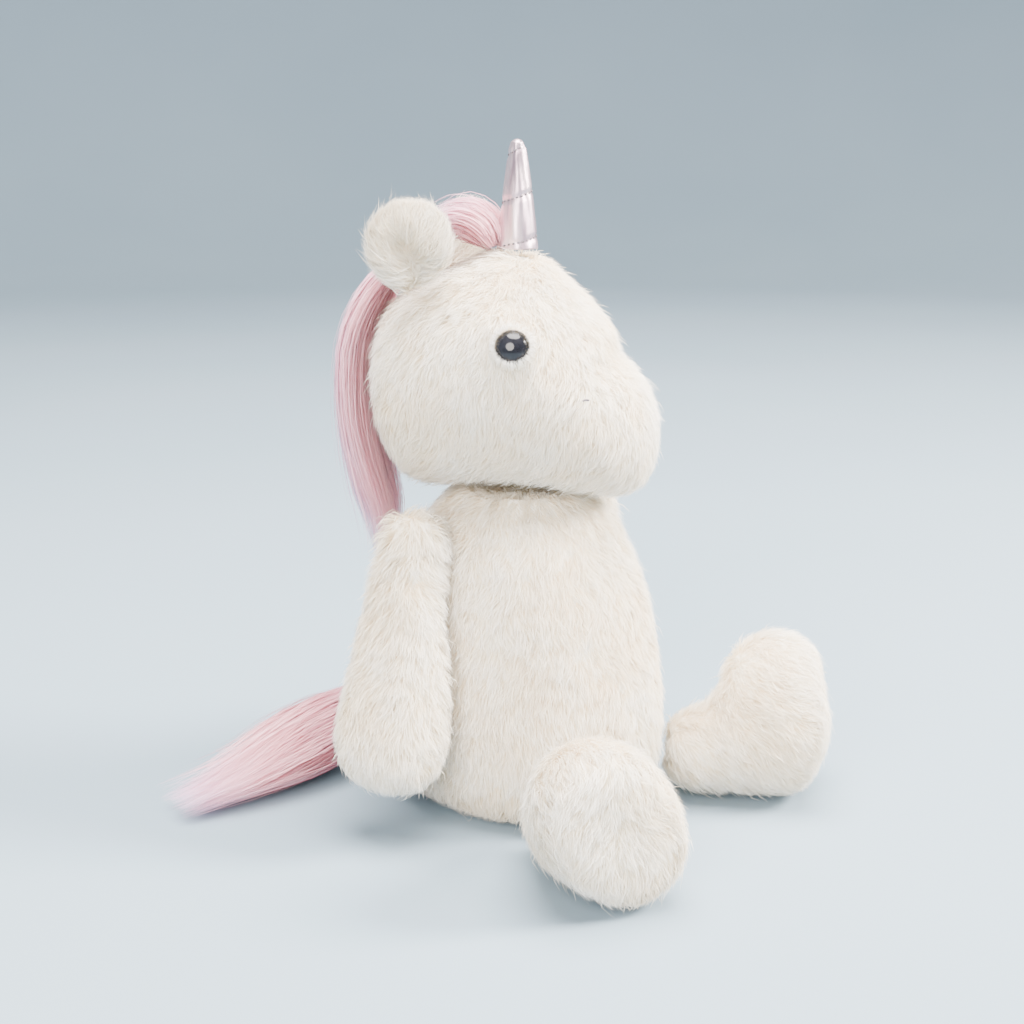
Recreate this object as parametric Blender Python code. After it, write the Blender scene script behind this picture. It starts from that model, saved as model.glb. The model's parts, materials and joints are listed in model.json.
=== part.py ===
"""Sitting plush unicorn, cut and sewn like the real toy.

Frame: metres, +Z up, origin at the centre of the flat seat. The body faces -Y, the animal's left is +X,
and the head is turned to the animal's left. Soft limbs, head, ears and tail each turn on a ball or a
rounded root, so that a constant gap stays between the moving skins.
"""
import math

import bmesh
import bpy
from mathutils import Matrix, Vector

# ---------------------------------------------------------------- driving dimensions (metres, radians)
GAP = 0.0003
HALF_GAP = 0.0002
POCKET_GAP = 0.0006
PANEL_WALL = 0.003
LIMB_WALL = 0.0024
FILL_GAP = 0.0008

NECK_PIVOT = Vector((0.0, 0.0, 0.080))
NECK_BALL = 0.042
NECK_BUN = 0.0345
HEAD_TURN = math.radians(27.0)

# torso rings: height, half width (X), half depth (Y)
SEAT_RINGS = [(0.0, 0.0285, 0.0365), (0.0012, 0.0330, 0.0425), (0.0055, 0.0380, 0.0485)]
SEAT_WALL = 0.0025
SEAT_LIFTS = (0.0, 1.0, 1.0)
SEAT_PULLS = (1.0, 0.8, 0.2)
TORSO_RINGS = [
    (0.0060, 0.0385, 0.0490),
    (0.0130, 0.0420, 0.0535),
    (0.0240, 0.0437, 0.0555),
    (0.0380, 0.0438, 0.0555),
    (0.0560, 0.0422, 0.0530),
    (0.0720, 0.0412, 0.0498),
    (0.0860, 0.0388, 0.0450),
    (0.0960, 0.0356, 0.0396),
    (0.1050, 0.0314, 0.0327),
    (0.1120, 0.0260, 0.0264),
    (0.1172, 0.0190, 0.0190),
]
STUFFING_LEVELS = (0.0335, 0.0560, 0.0720, 0.0795)
STUFFING_INSET = 0.0050
PELLET_BAG_CENTRE = Vector((0.0, 0.003, 0.0185))
PELLET_BAG_HALF = (0.030, 0.035, 0.0135)
BALL_LEVELS = 6
DOME_LEVELS = 4
TORSO_QUARTER_SIDES = 6
ROUND_SIDES = 20
SMALL_ROUND_SIDES = 14

# head rings: distance forward, centre height, half width, half height
HEAD_BACK_RINGS = [
    (-0.0515, 0.1520, 0.0, 0.0),
    (-0.0497, 0.1515, 0.0150, 0.0140),
    (-0.0455, 0.1500, 0.0260, 0.0260),
    (-0.0385, 0.1485, 0.0345, 0.0335),
]
HEAD_RINGS = [
    (-0.0380, 0.1485, 0.0349, 0.0339),
    (-0.0295, 0.1500, 0.0395, 0.0365),
    (-0.0170, 0.1528, 0.0430, 0.0393),
    (-0.0030, 0.1535, 0.0440, 0.0403),
    (0.0090, 0.1518, 0.0430, 0.0387),
    (0.0200, 0.1472, 0.0400, 0.0343),
    (0.0300, 0.1415, 0.0355, 0.0292),
    (0.0367, 0.1370, 0.0315, 0.0248),
]
MUZZLE_RINGS = [
    (0.0372, 0.1366, 0.0311, 0.0244),
    (0.0430, 0.1330, 0.0240, 0.0182),
    (0.0467, 0.1315, 0.0150, 0.0115),
    (0.0483, 0.1310, 0.0, 0.0),
]
SEAM_STEP = 0.0006
GUSSET_HALF_ANGLE = math.radians(30.0)
SEAM_ANGLE = 0.008
HEAD_SIDES = 24
HEAD_SIDE_STEPS = 10
GUSSET_STEPS = 4
SURFACE_STEP = 0.002
SURFACE_ANGLE_STEP = 0.02

EYE_FORWARD = 0.0064
EYE_HEIGHT = 0.1670
EYE_RADIUS = 0.0058
EYE_DOME = 0.0042
SHANK_RADIUS = 0.0015
SHANK_LENGTH = 0.0095
WASHER_TOP = 0.0048
WASHER_THICKNESS = 0.0012
WASHER_BORE = 0.0019
WASHER_RADIUS = 0.0065
EYE_POCKET_RADIUS = 0.0073
EYE_POCKET_DEPTH = 0.0115
EYE_TOOL_TOP = 0.006

NOSTRIL_FORWARD = 0.0287
NOSTRIL_HEIGHT = 0.1490
NOSTRIL_SPAN = 0.0045
NOSTRIL_THREAD = 0.0005
NOSTRIL_ARCH = 0.0012
NOSTRIL_STEPS = 4

HORN_FORWARD = -0.0012
HORN_BASE = 0.1948
HORN_RINGS = [
    (0.0, 0.0069),
    (0.0084, 0.0061),
    (0.0177, 0.0050),
    (0.0270, 0.0037),
    (0.0325, 0.0028),
    (0.0349, 0.0019),
]
HORN_HEIGHT = 0.0358
HORN_WALL = 0.0010
HORN_FILL_GAP = 0.0005
HORN_FILL_TOP = 0.0300
THREAD_RADIUS = 0.00035
# horn stitching: height at the front, and the turns from there at which the line starts and ends
THREAD_LINES = {"low": (0.0022, -0.14, 0.5), "middle": (0.0170, -0.5, 0.5), "top": (0.0325, -0.5, 0.12)}
THREAD_RISE = 0.0084
THREAD_FRONT = math.radians(193.0)
THREAD_STEPS = 24
THREAD_END_TRIM = 0.97
THREAD_SIDES = 6

EAR_PIVOT = (0.0262, 0.0303, 0.1817)
EAR_LEAN = {"left": math.radians(34.0), "right": math.radians(10.0)}
EAR_TWIST = math.radians(70.0)
EAR_SIDES = 8
# ear rings: height above the fold line, half width, half thickness
EAR_RINGS = [
    (-0.0025, 0.0, 0.0),
    (-0.0012, 0.0050, 0.0026),
    (0.0030, 0.0085, 0.0044),
    (0.0080, 0.0125, 0.0062),
    (0.0145, 0.0148, 0.0075),
    (0.0210, 0.0140, 0.0072),
    (0.0265, 0.0108, 0.0056),
    (0.0300, 0.0058, 0.0032),
    (0.0312, 0.0, 0.0),
]

# mane and forelock: distance behind the head's centre, height, half width, half thickness
MANE_PATH = [
    (0.0265, 0.1960, 0.0100, 0.0015),
    (0.0350, 0.1930, 0.0125, 0.0030),
    (0.0440, 0.1870, 0.0155, 0.0040),
    (0.0515, 0.1770, 0.0185, 0.0045),
    (0.0565, 0.1630, 0.0205, 0.0045),
    (0.0575, 0.1450, 0.0210, 0.0045),
    (0.0560, 0.1280, 0.0205, 0.0045),
    (0.0525, 0.1130, 0.0190, 0.0040),
    (0.0495, 0.1010, 0.0150, 0.0035),
    (0.0490, 0.0900, 0.0060, 0.0015),
]
FORELOCK_PATH = [
    (0.0118, 0.1980, 0.0060, 0.0018),
    (0.0130, 0.2020, 0.0090, 0.0032),
    (0.0160, 0.2062, 0.0100, 0.0040),
    (0.0205, 0.2075, 0.0100, 0.0040),
    (0.0250, 0.2045, 0.0050, 0.0020),
]

SHOULDER = Vector((0.0447, 0.0080, 0.1025))
HAND = Vector((0.0637, 0.0085, 0.0310))
SHOULDER_BALL = 0.0125
SHOULDER_BALL_ANGLES = (32.0, 60.0, 90.0)
ARM_SIDES = 8
# arm rings: distance from the shoulder, half thickness, half width
ARM_RINGS = [
    (0.0080, 0.0097, 0.0132),
    (0.0180, 0.0103, 0.0165),
    (0.0350, 0.0116, 0.0190),
    (0.0520, 0.0140, 0.0208),
    (0.0660, 0.0154, 0.0218),
    (0.0760, 0.0149, 0.0210),
    (0.0830, 0.0120, 0.0170),
    (0.0868, 0.0068, 0.0097),
    (0.0883, 0.0, 0.0),
]

HIP_DISTANCE = 0.064
HIP_HEIGHT = 0.0175
LEG_SPLAY = math.radians(36.0)
# how far each leg is turned inwards at its hip
LEG_TURN = {"left": 0.0, "right": math.radians(6.0)}
HIP_BALL = 0.0165
# leg rings: distance from the hip, rise, half width, half height
LEG_RINGS = [
    (0.0035, 0.0, 0.0166, 0.0166),
    (0.0085, 0.0052, 0.0180, 0.0219),
    (0.0140, 0.0099, 0.0205, 0.0266),
    (0.0200, 0.0129, 0.0222, 0.0296),
    (0.0280, 0.0142, 0.0232, 0.0309),
    (0.0350, 0.0134, 0.0230, 0.0301),
    (0.0400, 0.0118, 0.0216, 0.0281),
]
SOLE_RINGS = [(0.0405, 0.0212, 0.0277), (0.0425, 0.0190, 0.0248), (0.0438, 0.0122, 0.0162)]
SOLE_FRONT = 0.0445
# the left foot stands straight; the right one is pressed a little flatter
FOOT_HEIGHT = {"left": 1.0, "right": 0.91}
FOOT_HEIGHT_RUN = 0.010
FOOT_ROLL = math.radians(-11.0)
TOE_LEAN = 0.12
TOE_LEAN_START = 0.011
TOE_LEAN_RUN = 0.022
LEG_SIDES = 8
HIP_BALL_ANGLES = (25.0, 50.0, 75.0)

TAIL_PIVOT = Vector((-0.004, 0.0650, 0.026))
TAIL_BALL = 0.0070
# tail lock: X, Y, Z, half width, half height
TAIL_PATH = [
    (-0.0130, 0.0660, 0.0215, 0.0040, 0.0040),
    (-0.0250, 0.0665, 0.0172, 0.0140, 0.0118),
    (-0.0430, 0.0685, 0.0140, 0.0168, 0.0122),
    (-0.0610, 0.0695, 0.0112, 0.0155, 0.0098),
    (-0.0780, 0.0710, 0.0080, 0.0120, 0.0068),
    (-0.0930, 0.0750, 0.0042, 0.0050, 0.0032),
]

STITCH_COUNT = 13
STITCH_FIRST = 0.042
STITCH_PITCH = 0.0028
STITCH_HALF_LENGTH = 0.0018
STITCH_RADIUS = 0.00035
HAIR_SIDES = 12
LABEL_SIZE = (0.009, 0.0004, 0.012)
LABEL_ANGLE = math.radians(60.0)
LABEL_HEIGHT = 0.016

PLUSH_WHITE = (0.86, 0.84, 0.79)
PLUSH_SHADE = (0.80, 0.77, 0.71)
FILL_WHITE = (0.93, 0.94, 0.95)
YARN_PINK = (0.86, 0.55, 0.68)
FOIL_PINK = (0.78, 0.68, 0.70)
THREAD_GREY = (0.28, 0.25, 0.28)
EYE_BLACK = (0.01, 0.01, 0.012)
NYLON = (0.75, 0.76, 0.78)
BAG_COTTON = (0.72, 0.68, 0.60)
CLOTH_ROUGHNESS = 0.9
FILL_ROUGHNESS = 1.0
EYE_ROUGHNESS = 0.08
FOIL_ROUGHNESS = 0.3
PLASTIC_ROUGHNESS = 0.5
SMOOTH_ANGLE = math.radians(50.0)
MERGE_STEP = 0.000001
MERGE_DIGITS = 7
STEEP = 0.9


# ------------------------------------------------------------------------------------- basic builders
def make_material(name, colour, roughness):
    """Gives one part its own plain surface."""
    material = bpy.data.materials.new(name)
    material.use_nodes = True
    shader = material.node_tree.nodes["Principled BSDF"]
    shader.inputs["Base Color"].default_value = (*colour, 1.0)
    shader.inputs["Roughness"].default_value = roughness
    return material


def add_empty(name, matrix, parent=None):
    """Adds the pivot that a moving group of parts hangs from."""
    empty = bpy.data.objects.new(name, None)
    bpy.context.scene.collection.objects.link(empty)
    empty.parent = parent
    empty.matrix_basis = matrix
    return empty


def add_solid(name, points, faces, colour, roughness=CLOTH_ROUGHNESS, parent=None):
    """Turns points and faces into one closed object whose faces point outwards."""
    mesh = bpy.data.meshes.new(name)
    shape = bmesh.new()
    corners = [shape.verts.new(point) for point in points]
    for face in faces:
        shape.faces.new([corners[index] for index in face])
    bmesh.ops.remove_doubles(shape, verts=shape.verts, dist=MERGE_STEP)
    bmesh.ops.dissolve_degenerate(shape, edges=shape.edges, dist=MERGE_STEP)
    bmesh.ops.recalc_face_normals(shape, faces=shape.faces)
    if shape.calc_volume(signed=True) < 0:
        bmesh.ops.reverse_faces(shape, faces=shape.faces)
    shape.to_mesh(mesh)
    shape.free()
    mesh.shade_smooth()
    mesh.set_sharp_from_angle(angle=SMOOTH_ANGLE)
    mesh.materials.append(make_material(name, colour, roughness))
    solid = bpy.data.objects.new(name, mesh)
    bpy.context.scene.collection.objects.link(solid)
    solid.parent = parent
    return solid


def cut_with(solid, cutter):
    """Takes the cutter's volume away from the solid."""
    cut = solid.modifiers.new("cut_" + cutter.name, "BOOLEAN")
    cut.operation = "DIFFERENCE"
    cut.object = cutter


def hide_cutter(cutter):
    """Keeps a tool shape out of the finished model."""
    cutter.display_type = "WIRE"
    cutter.hide_render = True
    return cutter


def ring_faces(rings):
    """Skins a stack of rings, each a list of points, where a ring of one point is a pole."""
    points = []
    starts = []
    for ring in rings:
        starts.append(len(points))
        points.extend(ring)
    faces = []
    for (lower, first), (upper, second) in zip(
        zip(rings, starts), zip(rings[1:], starts[1:])
    ):
        count = max(len(lower), len(upper))
        for k in range(count):
            following = (k + 1) % count
            a = first + (k if len(lower) > 1 else 0)
            b = first + (following if len(lower) > 1 else 0)
            c = second + (following if len(upper) > 1 else 0)
            d = second + (k if len(upper) > 1 else 0)
            corners = [a, b, c, d]
            faces.append(list(dict.fromkeys(corners)))
    for ring, start in ((rings[0], starts[0]), (rings[-1], starts[-1])):
        if len(ring) > 1:
            faces.append([start + k for k in range(len(ring))])
    return points, faces


def ellipse(count, centre_x, centre_y, height, half_x, half_y):
    """One level ring, or a pole where it has no width."""
    if half_x <= 0.0:
        return [Vector((centre_x, centre_y, height))]
    ring = []
    for k in range(count):
        angle = 2.0 * math.pi * k / count
        reach = Vector((half_x * math.cos(angle), half_y * math.sin(angle), height))
        ring.append(reach + Vector((centre_x, centre_y, 0.0)))
    return ring


def inner_rings(rings, wall):
    """Moves every ring of a profile inwards, square to the profile, by the wall's thickness.

    A ring is (along, shift, half_a, half_b). The shift of its centre is kept. The two rings of a seam,
    which lie close together, get one direction, so that the cut edges on both sides stay parallel.
    """
    inside = []
    for index, (along, shift, half_a, half_b) in enumerate(rings):
        before = rings[max(index - 1, 0)]
        if abs(along - before[0]) < SEAM_STEP:
            before = rings[max(index - 2, 0)]
        after = rings[min(index + 1, len(rings) - 1)]
        if abs(along - after[0]) < SEAM_STEP:
            after = rings[min(index + 2, len(rings) - 1)]
        run = after[0] - before[0]
        rise = (after[2] + after[3] - before[2] - before[3]) / 2.0
        length = math.hypot(run, rise)
        radial = abs(run) / length
        axial = -rise / length if run > 0 else rise / length
        if half_a <= 0.0:
            radial = 0.0
            axial = 1.0 if index > 0 else -1.0
        shrink = wall * radial
        inside.append((
            along - wall * axial,
            shift,
            max(half_a - shrink, 0.0),
            max(half_b - shrink, 0.0),
        ))
    return inside


def panel_faces(outer, inner):
    """Joins an outer and an inner grid of points into one closed piece of cloth with a thickness."""
    rows = len(outer)
    columns = len(outer[0])
    points = [point for row in outer for point in row] + [point for row in inner for point in row]
    offset = rows * columns
    faces = []
    for i in range(rows - 1):
        for j in range(columns - 1):
            quad = [i * columns + j, i * columns + j + 1, (i + 1) * columns + j + 1, (i + 1) * columns + j]
            faces.append(quad)
            faces.append([offset + k for k in reversed(quad)])
    border = [j for j in range(columns)]
    border += [i * columns + columns - 1 for i in range(1, rows)]
    border += [(rows - 1) * columns + j for j in range(columns - 2, -1, -1)]
    border += [i * columns for i in range(rows - 2, 0, -1)]
    for k, start in enumerate(border):
        end = border[(k + 1) % len(border)]
        faces.append([end, start, offset + start, offset + end])
    return points, faces


def merged(points, faces):
    """Gives equal points one index, so that a collapsed row becomes a pole."""
    seen = {}
    unique = []
    index_of = []
    for point in points:
        spot = tuple(round(value, MERGE_DIGITS) for value in point)
        if spot not in seen:
            seen[spot] = len(unique)
            unique.append(point)
        index_of.append(seen[spot])
    joined = []
    for face in faces:
        corners = list(dict.fromkeys(index_of[index] for index in face))
        if len(corners) > 2:
            joined.append(corners)
    return unique, joined


def sweep_rings(path, side_of, count):
    """Flat ellipses along a path of (point, half width, half thickness), each square to the path."""
    rings = []
    for index, (point, half_width, half_thick) in enumerate(path):
        before = path[max(index - 1, 0)][0]
        after = path[min(index + 1, len(path) - 1)][0]
        forward = (after - before).normalized()
        side = side_of(forward)
        lift = forward.cross(side).normalized()
        ring = []
        for k in range(count):
            angle = 2.0 * math.pi * k / count
            ring.append(point + side * half_width * math.cos(angle) + lift * half_thick * math.sin(angle))
        rings.append(ring)
    return rings


def thread_rings(points, radius):
    """Round rings along a thread."""
    path = [(point, radius, radius) for point in points]

    def side_of(forward):
        helper = Vector((0.0, 0.0, 1.0)) if abs(forward.z) < STEEP else Vector((1.0, 0.0, 0.0))
        return forward.cross(helper).normalized()

    return sweep_rings(path, side_of, THREAD_SIDES)


def ball_ring(radius, angle):
    """A ring of a ball round a limb's root, measured from its inner pole."""
    return (-radius * math.cos(angle), 0.0, radius * math.sin(angle), radius * math.sin(angle))


# ---------------------------------------------------------------------------------------------- torso
def torso_profile():
    """The torso's rings in the general form (along, shift, half_a, half_b)."""
    return [(height, 0.0, half_x, half_y) for height, half_x, half_y in TORSO_RINGS]


def quarter_grid(rings, side_x, side_y):
    """A quarter of each ring, kept clear of both middle planes."""
    grid = []
    for height, _shift, half_x, half_y in rings:
        row = []
        for k in range(TORSO_QUARTER_SIDES + 1):
            angle = 0.5 * math.pi * k / TORSO_QUARTER_SIDES
            x = max(half_x * math.cos(angle), HALF_GAP)
            y = max(half_y * math.sin(angle), HALF_GAP)
            row.append(Vector((side_x * x, side_y * y, height)))
        grid.append(row)
    return grid


def build_torso(leg_cutters, arm_cutters):
    """Four plush panels on a seat panel, with the fibre filling and a bag of pellets inside."""
    for side_name, side_x in (("left", 1.0), ("right", -1.0)):
        for face_name, side_y in (("front", -1.0), ("back", 1.0)):
            outer = quarter_grid(torso_profile(), side_x, side_y)
            inner = quarter_grid(inner_rings(torso_profile(), PANEL_WALL), side_x, side_y)
            points, faces = panel_faces(outer, inner)
            panel = add_solid(f"torso_{face_name}_{side_name}", points, faces, PLUSH_WHITE)
            cut_with(panel, arm_cutters[side_name])
            if face_name == "front":
                cut_with(panel, leg_cutters[side_name])

    under = [[Vector((0.0, 0.0, 0.0))]]
    under += [ellipse(HEAD_SIDES, 0.0, 0.0, height, half_x, half_y) for height, half_x, half_y in SEAT_RINGS]
    above = []
    for (height, half_x, half_y), lift, pull in zip(reversed(SEAT_RINGS), SEAT_LIFTS, SEAT_PULLS):
        inset = SEAT_WALL * pull
        above.append(ellipse(HEAD_SIDES, 0.0, 0.0, height + SEAT_WALL * lift, half_x - inset, half_y - inset))
    points, faces = ring_faces(under + above + [[Vector((0.0, 0.0, SEAT_WALL))]])
    add_solid("seat_panel", points, faces, PLUSH_SHADE)

    rings = []
    for height in STUFFING_LEVELS:
        half_x, half_y = torso_halves(height)
        rings.append(ellipse(ROUND_SIDES, 0.0, 0.0, height, half_x - STUFFING_INSET, half_y - STUFFING_INSET))
    points, faces = ring_faces(rings)
    add_solid("torso_stuffing", points, faces, FILL_WHITE, FILL_ROUGHNESS)

    rings = []
    for k in range(BALL_LEVELS + 1):
        tilt = math.pi * (k / BALL_LEVELS - 0.5)
        spread = math.cos(tilt) if 0 < k < BALL_LEVELS else 0.0
        rings.append(ellipse(
            ROUND_SIDES,
            PELLET_BAG_CENTRE.x,
            PELLET_BAG_CENTRE.y,
            PELLET_BAG_CENTRE.z + PELLET_BAG_HALF[2] * math.sin(tilt),
            PELLET_BAG_HALF[0] * spread,
            PELLET_BAG_HALF[1] * spread,
        ))
    points, faces = ring_faces(rings)
    add_solid("pellet_bag", points, faces, BAG_COTTON)


def build_neck():
    """A round bun of filling in the neck, which turns with the head and lets it nod."""
    pivot = add_empty("neck_pivot", Matrix.Translation(NECK_PIVOT))
    rings = [ellipse(ROUND_SIDES, 0.0, 0.0, HALF_GAP, NECK_BUN, NECK_BUN)]
    for k in range(1, DOME_LEVELS + 1):
        tilt = 0.5 * math.pi * k / DOME_LEVELS
        spread = NECK_BUN * math.cos(tilt) if k < DOME_LEVELS else 0.0
        rings.append(ellipse(ROUND_SIDES, 0.0, 0.0, HALF_GAP + NECK_BUN * math.sin(tilt), spread, spread))
    points, faces = ring_faces(rings)
    add_solid("neck_stuffing", points, faces, FILL_WHITE, FILL_ROUGHNESS, parent=pivot)


def build_seam_and_label():
    """The hand-sewn closing stitches up the back, and a blank label in the side of the seat."""
    path = []
    for k in range(STITCH_COUNT):
        height = STITCH_FIRST + STITCH_PITCH * k
        side = STITCH_HALF_LENGTH if k % 2 else -STITCH_HALF_LENGTH
        path.append(Vector((side, torso_halves(height)[1] + 2.0 * GAP + STITCH_RADIUS, height)))
    points, faces = ring_faces(thread_rings(path, STITCH_RADIUS))
    add_solid("closing_seam_thread", points, faces, PLUSH_SHADE)

    reach, thick, tall = LABEL_SIZE
    half_x, half_y = torso_halves(LABEL_HEIGHT + 0.5 * tall)
    root = Vector((half_x * math.cos(LABEL_ANGLE), half_y * math.sin(LABEL_ANGLE), LABEL_HEIGHT))
    outward = Vector((math.cos(LABEL_ANGLE) / half_x, math.sin(LABEL_ANGLE) / half_y, 0.0)).normalized()
    across = Vector((-outward.y, outward.x, 0.0))
    corners = []
    for out in (GAP, GAP + reach):
        for side, up in ((-0.5, -0.5), (0.5, -0.5), (0.5, 0.5), (-0.5, 0.5)):
            corners.append(root + outward * out + across * thick * side + Vector((0.0, 0.0, tall * up)))
    box = [[0, 1, 2, 3], [4, 5, 6, 7], [0, 1, 5, 4], [1, 2, 6, 5], [2, 3, 7, 6], [3, 0, 4, 7]]
    add_solid("blank_label", corners, box, FILL_WHITE)


def torso_halves(height):
    """The torso's half width and half depth at a height, read between its rings."""
    for (low, wide, deep), (high, wide_above, deep_above) in zip(TORSO_RINGS, TORSO_RINGS[1:]):
        if low <= height <= high:
            share = (height - low) / (high - low)
            return wide + (wide_above - wide) * share, deep + (deep_above - deep) * share
    return TORSO_RINGS[0][1:]


# ----------------------------------------------------------------------------------------------- head
def head_point(ring, angle):
    """A point of the head, measured by its angle from the top towards the animal's left."""
    forward, height, half_x, half_z = ring
    x = half_x * math.sin(angle)
    z = height + half_z * math.cos(angle)
    return Vector((x, -forward, z)) - NECK_PIVOT


def head_ring_at(forward):
    """The head's ring at a distance forward, read between its rings."""
    rings = HEAD_BACK_RINGS + HEAD_RINGS + MUZZLE_RINGS
    for low, high in zip(rings, rings[1:]):
        if low[0] <= forward <= high[0]:
            share = (forward - low[0]) / (high[0] - low[0])
            return tuple(a + (b - a) * share for a, b in zip(low, high))
    return rings[0]


def head_surface(forward, height, side):
    """A spot on the head's side: its point and its outward direction."""
    ring = head_ring_at(forward)
    angle = side * math.acos((height - ring[1]) / ring[3])
    point = head_point(ring, angle)
    ahead = head_point(head_ring_at(forward + SURFACE_STEP), angle)
    along = ahead - head_point(head_ring_at(forward - SURFACE_STEP), angle)
    around = head_point(ring, angle + SURFACE_ANGLE_STEP) - head_point(ring, angle - SURFACE_ANGLE_STEP)
    normal = along.cross(around).normalized()
    if normal.x * side < 0:
        normal.negate()
    return point, normal


def head_dome(rings, inside):
    """A dome panel: an outer and an inner skin that meet at the rim."""
    if rings[0][2] > 0.0:
        rings = rings[::-1]
        inside = inside[::-1]
    loops = []
    for ring in rings + inside[::-1]:
        if ring[2] <= 0.0:
            loops.append([head_point(ring, 0.0)])
        else:
            loops.append([head_point(ring, 2.0 * math.pi * k / HEAD_SIDES) for k in range(HEAD_SIDES)])
    return ring_faces(loops)


def side_grid(rings, side):
    """The part of each ring between the centre strip and the underside seam."""
    first = GUSSET_HALF_ANGLE + SEAM_ANGLE
    grid = []
    for ring in rings:
        row = []
        for k in range(HEAD_SIDE_STEPS + 1):
            angle = first + (math.pi - first) * k / HEAD_SIDE_STEPS
            point = head_point(ring, angle)
            point.x = side * max(point.x, HALF_GAP)
            row.append(point)
        grid.append(row)
    return grid


def strip_grid(rings):
    """The part of each ring over the top of the head."""
    span = GUSSET_HALF_ANGLE - SEAM_ANGLE
    angles = [span * (2.0 * k / GUSSET_STEPS - 1.0) for k in range(GUSSET_STEPS + 1)]
    return [[head_point(ring, angle) for angle in angles] for ring in rings]


def build_head(head_pivot, neck_cutter):
    """Five plush panels round a ball of filling, with a cup underneath for the neck."""
    inside = inner_rings(HEAD_BACK_RINGS + HEAD_RINGS + MUZZLE_RINGS, PANEL_WALL)
    back_inside = inside[:len(HEAD_BACK_RINGS)]
    muzzle_inside = inside[-len(MUZZLE_RINGS):]
    inside = inside[len(HEAD_BACK_RINGS):-len(MUZZLE_RINGS)]
    eyes = {}
    for side_name, side in (("left", 1.0), ("right", -1.0)):
        eyes[side_name] = build_eye(side_name, side, head_pivot)
        points, faces = panel_faces(side_grid(HEAD_RINGS, side), side_grid(inside, side))
        panel = add_solid(f"head_side_{side_name}", points, faces, PLUSH_WHITE, parent=head_pivot)
        cut_with(panel, neck_cutter)
        cut_with(panel, eyes[side_name]["hole"])
    points, faces = panel_faces(strip_grid(HEAD_RINGS), strip_grid(inside))
    add_solid("head_gusset", points, faces, PLUSH_WHITE, parent=head_pivot)
    points, faces = head_dome(HEAD_BACK_RINGS, back_inside)
    add_solid("head_back_panel", points, faces, PLUSH_WHITE, parent=head_pivot)
    points, faces = head_dome(MUZZLE_RINGS, muzzle_inside)
    add_solid("muzzle_panel", points, faces, PLUSH_WHITE, parent=head_pivot)

    whole = HEAD_BACK_RINGS[:-1] + HEAD_RINGS[1:-1] + MUZZLE_RINGS[1:]
    core = inner_rings(whole, PANEL_WALL + FILL_GAP)[1:-1]
    angles = [2.0 * math.pi * k / ROUND_SIDES for k in range(ROUND_SIDES)]
    loops = [[head_point(ring, angle) for angle in angles] for ring in core]
    points, faces = ring_faces(loops)
    stuffing = add_solid("head_stuffing", points, faces, FILL_WHITE, FILL_ROUGHNESS, parent=head_pivot)
    cut_with(stuffing, neck_cutter)
    for eye in eyes.values():
        cut_with(stuffing, eye["pocket"])


def turned(name, profile, colour, roughness, parent, count=ROUND_SIDES, closed=False):
    """A turned piece from (radius, height) points. A closed profile makes a ring with a bore."""
    loops = [ellipse(count, 0.0, 0.0, height, radius, radius) for radius, height in profile]
    if closed:
        points, faces = ring_faces(loops + [loops[0]])
        points, faces = merged(points, [face for face in faces if len(face) <= 4])
    else:
        points, faces = ring_faces(loops)
    return add_solid(name, points, faces, colour, roughness, parent=parent)


def build_eye(side_name, side, head_pivot):
    """A black dome on a shank, locked behind the cloth by a washer, and the tools that make room for it."""
    spot, normal = head_surface(EYE_FORWARD, EYE_HEIGHT, side)
    turn = normal.to_track_quat("Z", "Y").to_matrix().to_4x4()
    seat = add_empty(f"eye_seat_{side_name}", Matrix.Translation(spot) @ turn, head_pivot)
    base = 2.0 * GAP
    dome = [(0.0, -SHANK_LENGTH), (SHANK_RADIUS, -SHANK_LENGTH), (SHANK_RADIUS, base), (EYE_RADIUS, base)]
    for k in range(1, DOME_LEVELS + 1):
        tilt = 0.5 * math.pi * k / DOME_LEVELS
        radius = EYE_RADIUS * math.cos(tilt) if k < DOME_LEVELS else 0.0
        dome.append((radius, base + EYE_DOME * math.sin(tilt)))
    turned(f"eye_{side_name}", dome, EYE_BLACK, EYE_ROUGHNESS, seat)
    top = -WASHER_TOP
    low = -WASHER_TOP - WASHER_THICKNESS
    ring = [(WASHER_BORE, low), (WASHER_RADIUS, low), (WASHER_RADIUS, top), (WASHER_BORE, top)]
    turned(f"eye_washer_{side_name}", ring, NYLON, PLASTIC_ROUGHNESS, seat, closed=True)
    tools = {}
    for tool, radius in (("hole", SHANK_RADIUS + 2.0 * GAP), ("pocket", EYE_POCKET_RADIUS)):
        drill = [(reach, level) for level in (-EYE_POCKET_DEPTH, EYE_TOOL_TOP) for reach in (0.0, radius)]
        drill[2:] = drill[:1:-1]
        tools[tool] = hide_cutter(turned(f"eye_{tool}_{side_name}", drill, NYLON, PLASTIC_ROUGHNESS, seat))
    return tools


def build_nostrils(head_pivot):
    """One short curved stitch on each side of the muzzle."""
    for side_name, side in (("left", 1.0), ("right", -1.0)):
        points = []
        for k in range(NOSTRIL_STEPS + 1):
            share = k / NOSTRIL_STEPS - 0.5
            forward = NOSTRIL_FORWARD + NOSTRIL_SPAN * share
            height = NOSTRIL_HEIGHT + NOSTRIL_ARCH * (1.0 - 4.0 * share * share)
            spot, normal = head_surface(forward, height, side)
            points.append(spot + normal * (2.0 * GAP + NOSTRIL_THREAD))
        skin = ring_faces(thread_rings(points, NOSTRIL_THREAD))
        add_solid(f"nostril_stitch_{side_name}", *skin, THREAD_GREY, parent=head_pivot)


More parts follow.
